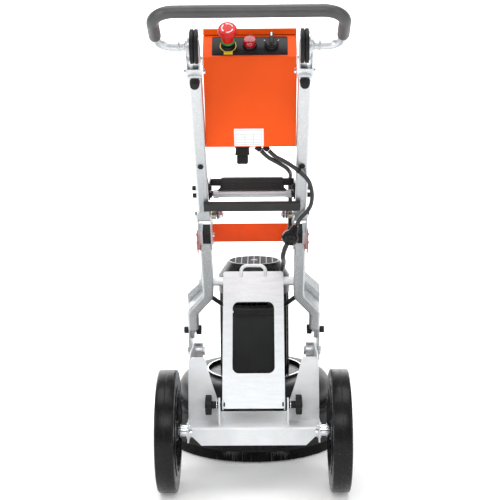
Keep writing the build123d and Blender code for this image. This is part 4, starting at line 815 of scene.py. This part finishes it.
def outer_bolts():
    """Longer bolt heads with washers on the outer faces of the tubes."""
    side_head = [(0, 1.5), (6.4, 1.5), (6.4, 9.6), (5.4, 10.6), (3.2, 10.8), (3.0, 8.8), (0, 8.8)]
    arm_head = [(0, 0), (9.8, 0), (9.8, 11.6), (8.6, 12.8), (0, 12.8)]
    arm_cap = [(0, 0), (12, 0), (13, 1.4), (13, 12), (11.6, 13.6), (0, 13.6)]
    cross_head = [(0, 1.8), (7, 1.8), (7, 7.6), (6, 8.6), (0, 8.6)]
    tube_face, arm_face, arm_width = 131.2, 174.0, 20.4
    for side, tag in SIDES:
        places = [outward(upper_point(side * tube_face, t, 0), side) for t in (93, 68)]
        heads = [turned(side_head, at, 6) for at in places]
        washers = [ring_of(0, 7.6, 0, 1.6, at, 40) for at in places]
        piece(f"side_bolt_heads_{tag}", together(*heads), "black_plastic", "handle")
        piece(f"side_washers_{tag}", together(*washers), "nut_zinc", "handle")
        foot = Vector((side * arm_face, *ARM_BOLT))
        inside = foot - Vector((side * arm_width, 0, 0))
        arm = together(turned(arm_head, outward(foot, side), 6),
                       turned(arm_cap, outward(inside, -side), 48))
        piece(f"arm_bolt_{tag}", arm, "black_plastic", "frame")
        at = outward((side * tube_face, 55.7, 485.7), side)
        bolt = together(ring_of(0, 9, 0, 1.8, at, 40), turned(cross_head, at, 6))
        piece(f"cross_bolt_{tag}", bolt, "nut_zinc", "frame")


# ---------- wheels
def wheels():
    """Tyres with a seam round the middle of the tread, and rims with ribs and round studs."""
    tyre = [(110, 186.6), (143.5, 186.0), (146.6, 186.7), (148.8, 188.4), (149.8, 190.6),
            (150, 208.0), (149.5, 208.6), (149.5, 209.4), (150, 210.0), (149.8, 227.4),
            (148.8, 229.6), (146.6, 231.3), (143.5, 232.0), (124, 231.8), (122.5, 232.5),
            (119, 232.5), (117.5, 231.6), (110, 231.4), (105.2, 230), (105.2, 188)]
    rim = [(10.1, 184.6), (18, 184), (21, 185), (24, 189), (26, 194), (30, 203.5), (60, 204),
           (63, 200), (66, 199.4), (84, 194), (96, 191.6), (98, 184.6), (99.5, 184.0), (108.8, 184),
           (110, 185), (110, 185.9), (104.9, 186.4), (104.9, 231.6), (110, 232.2), (110, 233),
           (108.8, 234), (99.5, 234), (98, 233.2), (96, 224.8), (84, 222), (66, 216.2), (63, 215.4),
           (60, 213.8), (30, 215.5), (26, 223), (24, 229), (20.5, 233.4), (18, 234), (10.1, 234)]
    stud = [(0, 0), (7.4, 0), (7.4, 1.4), (6.0, 2.2), (0, 2.2)]
    cap = [(0, 0.2), (9.6, 0.2), (9.6, 2.2), (8.6, 4.2), (6, 5.4), (0, 5.8)]
    nut = [(10.1, 2.2), (16, 2.2), (16, 12), (14.6, 13.4), (10.1, 13.4)]
    spacer = [(10.1, 0), (19, 0), (19, 2.4), (13.6, 2.6), (13.6, 15), (17, 15.4), (17, 18),
              (13.6, 18.4), (13.6, 21.6), (10.1, 21.6)]
    for side, tag, body in ((1, "r", "wheel_right"), (-1, "l", "wheel_left")):
        at = outward(AXLE, side)
        piece(f"moulded_tyre_{tag}", turned(tyre, at, 180, closed=True), "tyre", body,
              [f"tyre_{tag}"], 40)
        parts = [turned(rim, at, 180, closed=True)]
        for k in range(6):
            a = math.tau * (k + 0.5) / 6
            spot = AXLE + Vector((side * 216.6, 45 * math.cos(a), 45 * math.sin(a)))
            parts.append(turned(stud, outward(spot, side), 32))
            for x, depth in ((219, 7), (199, 9)):
                spot = AXLE + Vector((side * x, 78 * math.cos(a), 78 * math.sin(a)))
                rib = frame_at(spot, (side, 0, 0), (0, math.cos(a), math.sin(a)))
                parts.append(block((26, 5, depth), rib, 1.4))
        piece(f"moulded_rim_{tag}", together(*parts), "black_paint", body,
              [f"rim_{tag}"])
        outer = outward(AXLE + Vector((side * 232, 0, 0)), side)
        piece(f"axle_cap_{tag}", turned(cap, outer, 64), "bright", "frame")
        inner = outward(AXLE + Vector((side * 157.6, 0, 0)), -side)
        shape = together(ring_of(10.1, 19, 0, 2.2, inner), turned(nut, inner, 6, closed=True))
        piece(f"axle_nut_{tag}", shape, "bright", "frame")
        between = outward(AXLE + Vector((side * 162.1, 0, 0)), side)
        piece(f"axle_spacer_{tag}", turned(spacer, between, 64, closed=True), "bright", "frame")


# ---------- head
def brush():
    """The floating skirt's brush: tufts of nylon round the ring under a clamping strip."""
    random.seed(7)

    def tufts(bm):
        count = 600
        for k in range(count):
            a = math.tau * k / count
            for row, ring in enumerate((243.6, 240.2)):
                angle = a + (0.5 * row) * math.tau / count
                lean = random.uniform(-0.5, 0.5)
                top_r, low_r = ring, ring + random.uniform(-0.7, 0.7)
                low_z = 2.4 + random.uniform(0, 1.2)
                wide = 0.95
                ring_points = []
                for r, z, turn, w in ((top_r, 29.6, 0, wide * 0.75), (low_r, low_z, lean, wide)):
                    t = angle + turn / 244
                    radial = Vector((math.cos(t), math.sin(t), 0))
                    side = Vector((-math.sin(t), math.cos(t), 0))
                    centre = Vector((0, SPINDLE_Y, z)) + radial * r
                    ring_points.append([bm.verts.new((centre + radial * dr + side * ds) * MM)
                                        for dr, ds in ((-w, -w), (-w, w), (w, w), (w, -w))])
                join_rings(bm, *ring_points)
                bm.faces.new(ring_points[0])
                bm.faces.new(ring_points[1])
    piece("skirt_bristles", tufts, "bristle", "skirt", ["skirt_brush"], 30)
    at = frame_at((0, SPINDLE_Y, 0), (0, 0, 1))
    strip = [(244.9, 30.2), (245.7, 30.6), (245.9, 33), (245.7, 38), (244.9, 38.4)]
    piece("skirt_strip", turned(strip, at, 240, closed=True), "black_plastic", "skirt")
    seam = frame_at((4, SPINDLE_Y - 245.3, 70), (0, -1, 0))
    piece("skirt_seam", block((9, 78, 1.0), seam, 0.4), "black_paint", "skirt")


def head_details():
    at = frame_at((0, SPINDLE_Y, 0), (0, 0, 1))
    shape = turned([(133.0, 191.0), (134.4, 191.0), (134.8, 191.8), (134.8, 196.4), (134.0, 197.2),
                    (130.4, 197.2), (130.0, 196.6), (133.0, 196.2)], at, 200, closed=True)
    piece("collar_rim", shape, "bright", "frame")
    hub = [(0, 501), (9.5, 501), (9.8, 501.8), (9.2, 502.6), (0, 502.8)]
    edge = [(66.4, 500.8), (66.6, 502.0), (70.6, 502.0), (72.0, 500.8)]
    wires = [turned(hub, at, 48), turned(edge, at, 120, closed=True)]
    spacing, grille_r, grille_z = 17, 67, 501.4
    for row in range(-3, 4):
        off = spacing * row
        reach = math.sqrt(grille_r ** 2 - off ** 2)
        wires.append(block((2 * reach, 2.4, 1.5), shifted(0, SPINDLE_Y + off, grille_z), 0.4, 1))
        wires.append(block((2.4, 2 * reach, 1.5), shifted(off, SPINDLE_Y, grille_z), 0.4, 1))
    piece("fan_grille", together(*wires), "grille_grey", "frame")
    screws = []
    for k in range(4):
        a = math.radians(45 + 90 * k)
        out = Vector((math.cos(a), math.sin(a), 0))
        spot = Vector((0, SPINDLE_Y, 440)) + out * 98.4
        screws.append(turned([(0, 0), (4.6, 0), (4.6, 1.6), (3.4, 2.8), (0, 3.2)],
                             frame_at(spot, out, (0, 0, 1)), 32))
    piece("cover_screws", together(*screws), "bright", "frame")


def terminal_lid():
    """Grained cover of the terminal box: domed edges, a step near the top, four screws."""
    face_y = 152 - 7.8
    at = frame_at((0, 148.1, 304), (0, -1, 0))
    parts = [block((128, 182, 7.6), at, 3.4, 5),
             block((112, 150, 2.2), frame_at((0, face_y - 0.6, 298), (0, -1, 0)), 1.0, 3),
             block((116, 2.2, 2.6), frame_at((0, face_y - 0.8, 381), (0, -1, 0)), 0.9, 3)]
    piece("terminal_lid", together(*parts), "textured_black", "frame",
          ["terminal_cover"])
    screws = []
    for x in (-57, 57):
        for z in (222, 387):
            screws.append(turned([(0, 0), (3.6, 0), (3.6, 1.6), (2.8, 2.4), (0, 2.6)],
                                 frame_at((x, face_y, z), (0, -1, 0)), 28))
    piece("lid_screws", together(*screws), "bright", "frame")


def plate_knob_caps():
    """Caps and washers of the rear plate's two clamping knobs."""
    cap = [(0, 0), (9, 0), (8.6, 1.0), (6.4, 1.5), (0, 1.6)]
    for side, tag, body in ((1, "r", "plate_knob_right"), (-1, "l", "plate_knob_left")):
        at = outward((side * 118, KNOB_Y, KNOB_Z), side)
        piece(f"knob_cap_{tag}", turned(cap, at, 48), "grip_plastic", body)
        at = outward((side * 89.4, KNOB_Y, KNOB_Z), side)
        piece(f"knob_washer_{tag}", ring_of(9.1, 12.5, 0, 1.6, at), "bright", body)


# ---------- leads
def coupling():
    """The moulded coupling: a bulged body, a ribbed sleeve above it and a boss to the front."""
    at = frame_at(COUPLING, COUPLING_AXIS, (0, 1, 0))
    profile = [(0, -16.2), (9.0, -16.2), (10.6, -15.6), (14.2, -14.0), (17.4, -11.2), (19.6, -7.4),
               (20.8, -3.2), (21.0, 0.6), (20.2, 1.0), (20.2, 2.2), (20.8, 2.6), (20.2, 5.6),
               (18.6, 9.2), (16.0, 12.4), (13.4, 14.4)]
    for k in range(5):
        z, r = 16 + 3.6 * k, 12.4 - 1.1 * k
        profile += [(r + 0.7, z - 0.9), (r + 0.6, z + 0.9), (r - 0.9, z + 1.3), (r - 1.1, z + 2.3)]
    profile += [(7.0, 33.6), (6.2, 34), (0, 34)]
    entry = frame_at(COUPLING, COUPLING_ENTRY)
    boss = [(0, 12), (9.4, 12), (9.4, 19.6), (8.2, 20.4), (7.6, 26), (6.4, 27), (0, 27)]
    shape = together(turned(profile, at, 120), turned(boss, entry, 48, (12, 0.6, 9.2)))
    piece("ribbed_coupling", shape, "glossy_black", "frame", ["lead_coupling"])


def bend_radii(points):
    """One radius per inner point, as wide as its shorter neighbouring stretch allows."""
    radii = []
    for before, corner, after in zip(points, points[1:], points[2:]):
        run_in = Vector(corner) - Vector(before)
        run_out = Vector(after) - Vector(corner)
        half_turn = run_in.angle(run_out) / 2
        radii.append(0.45 * min(run_in.length, run_out.length) / math.tan(half_turn))
    return radii


def leads():
    """The two leads that cross the fold, as tubes along fixed routes."""
    gland_reach = 20.3
    routes = {
        "lead_a": [GLAND_A + GLAND_OUT * gland_reach,
                   (54, -206.5, 826), (82, -208, 812), (110, -208, 792), (134, -186, 768),
                   (142.5, -160, 734), (141, -134, 707), (133, -117, 688), (118, -102, 672),
                   COUPLING + COUPLING_AXIS * 35.9],
        "lead_b": [GLAND_B + GLAND_OUT * gland_reach,
                   (38, -205, 824), (63, -198, 810), (82, -176, 797), (90.5, -138, 783),
                   (93, -98, 775), (93.5, -60, 773), (93.5, -30, 762), (93, -18, 732),
                   (93.5, -29, 698), (92, -48, 664), COUPLING + COUPLING_ENTRY * 27.3],
    }
    for name, points in routes.items():
        route = filleted(points, bend_radii(points), 3.0)
        mesh = mesh_of(tube_along(route, LEAD_R, 20), name)
        mesh.materials.append(M["rubber"])
        obj = added(f"{name}_flex", mesh)
        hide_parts(name)
        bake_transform(obj)
    tie = frame_at((109, -207.4, 793.4), (0.75, 0.25, -0.6), (0, 1, 0))
    clasp = block((6, 5, 6), tie @ shifted(7.5, 0, 0))
    shape = together(ring_of(5.1, 6.5, -2.4, 2.4, tie, 40), clasp)
    piece("lead_tie", shape, "black_plastic", "handle")


# ---------- stage, light, camera
def stage():
    """A pale floor that sweeps up behind the object, in metres."""
    width, back, front, bend, top = 9.0, 4.2, -5.0, 1.6, 7.0
    profile = [(front, 0.0), (back - bend, 0.0)]
    for k in range(1, 17):
        a = math.pi / 2 * k / 16
        profile.append((back - bend + bend * math.sin(a), bend - bend * math.cos(a)))
    profile.append((back, top))
    verts = [(x, y, z - 0.0002) for y, z in profile for x in (-width, width)]
    faces = [(2 * i, 2 * i + 1, 2 * i + 3, 2 * i + 2) for i in range(len(profile) - 1)]
    mesh = bpy.data.meshes.new("floor")
    mesh.from_pydata(verts, [], faces)
    mesh.shade_smooth()
    n = Nodes("studio_floor")
    tone = n.blend(n.spread(n.noise(2.0), 0, 1), (0.90, 0.90, 0.90), (0.93, 0.93, 0.93))
    rough = n.spread(n.noise(8.0), 0.5, 0.6)
    mesh.materials.append(n.finish(tone, rough, Emission_Color=(1, 1, 1, 1),
                                   Emission_Strength=0.19))
    obj = added("floor", mesh)


def area_light(name, place, aim, size, power):
    light = bpy.data.lights.new(name, "AREA")
    light.shape = "RECTANGLE"
    light.size, light.size_y = size
    light.energy = power
    obj = added(name, light)
    obj.location = place
    obj.rotation_euler = (Vector(aim) - Vector(place)).to_track_quat("-Z", "Y").to_euler()


def lighting():
    world = bpy.data.worlds.new("studio")
    world.use_nodes = True
    background = world.node_tree.nodes["Background"].inputs
    background["Color"].default_value = (1.0, 1.0, 1.0, 1)
    background["Strength"].default_value = 0.30
    bpy.context.scene.world = world
    area_light("overhead", (0.0, -0.3, 3.0), (0, 0.0, 0.4), (2.8, 1.6), 43)
    area_light("front_box", (0.0, -3.6, 2.7), (0, 0, 0.5), (3.0, 1.4), 46)
    area_light("left_box", (-2.6, -1.9, 1.5), (0, 0, 0.5), (0.9, 2.2), 36)
    area_light("right_box", (2.6, -1.7, 1.5), (0, 0, 0.5), (0.9, 2.2), 26)
    area_light("back_left", (-1.8, 2.2, 1.8), (0, 0.1, 0.6), (1.2, 1.8), 20)
    area_light("backdrop", (0.0, 1.6, 2.6), (0, 4.2, 1.4), (5.0, 1.2), 190)


def camera():
    """From behind the machine at about handlebar height, looking slightly down at it."""
    data = bpy.data.cameras.new("camera")
    data.lens = 81.4
    data.sensor_width = 36.0
    obj = added("camera", data)
    pan, pitch, roll = math.radians(0.70), math.radians(90 - 9.04), math.radians(-0.50)
    obj.matrix_world = (Matrix.Translation((0.027, -2.801, 1.022)) @ Matrix.Rotation(pan, 4, "Z")
                        @ Matrix.Rotation(pitch, 4, "X") @ Matrix.Rotation(roll, 4, "Z"))
    bpy.context.scene.camera = obj


handlebar()
knuckles()
emergency_stop()
pilot_and_selector()
rating_plate()
box_underside()
springs()
fold_grip()
bracket_flanges()
outer_bolts()
wheels()
brush()
head_details()
terminal_lid()
plate_knob_caps()
coupling()
leads()
# the knuckle nodes are shown by the discs and brackets above
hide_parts("knuckles_fixed")
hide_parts("knuckles_moving")
stage()
lighting()
camera()
bpy.context.scene.view_settings.view_transform = "Standard"
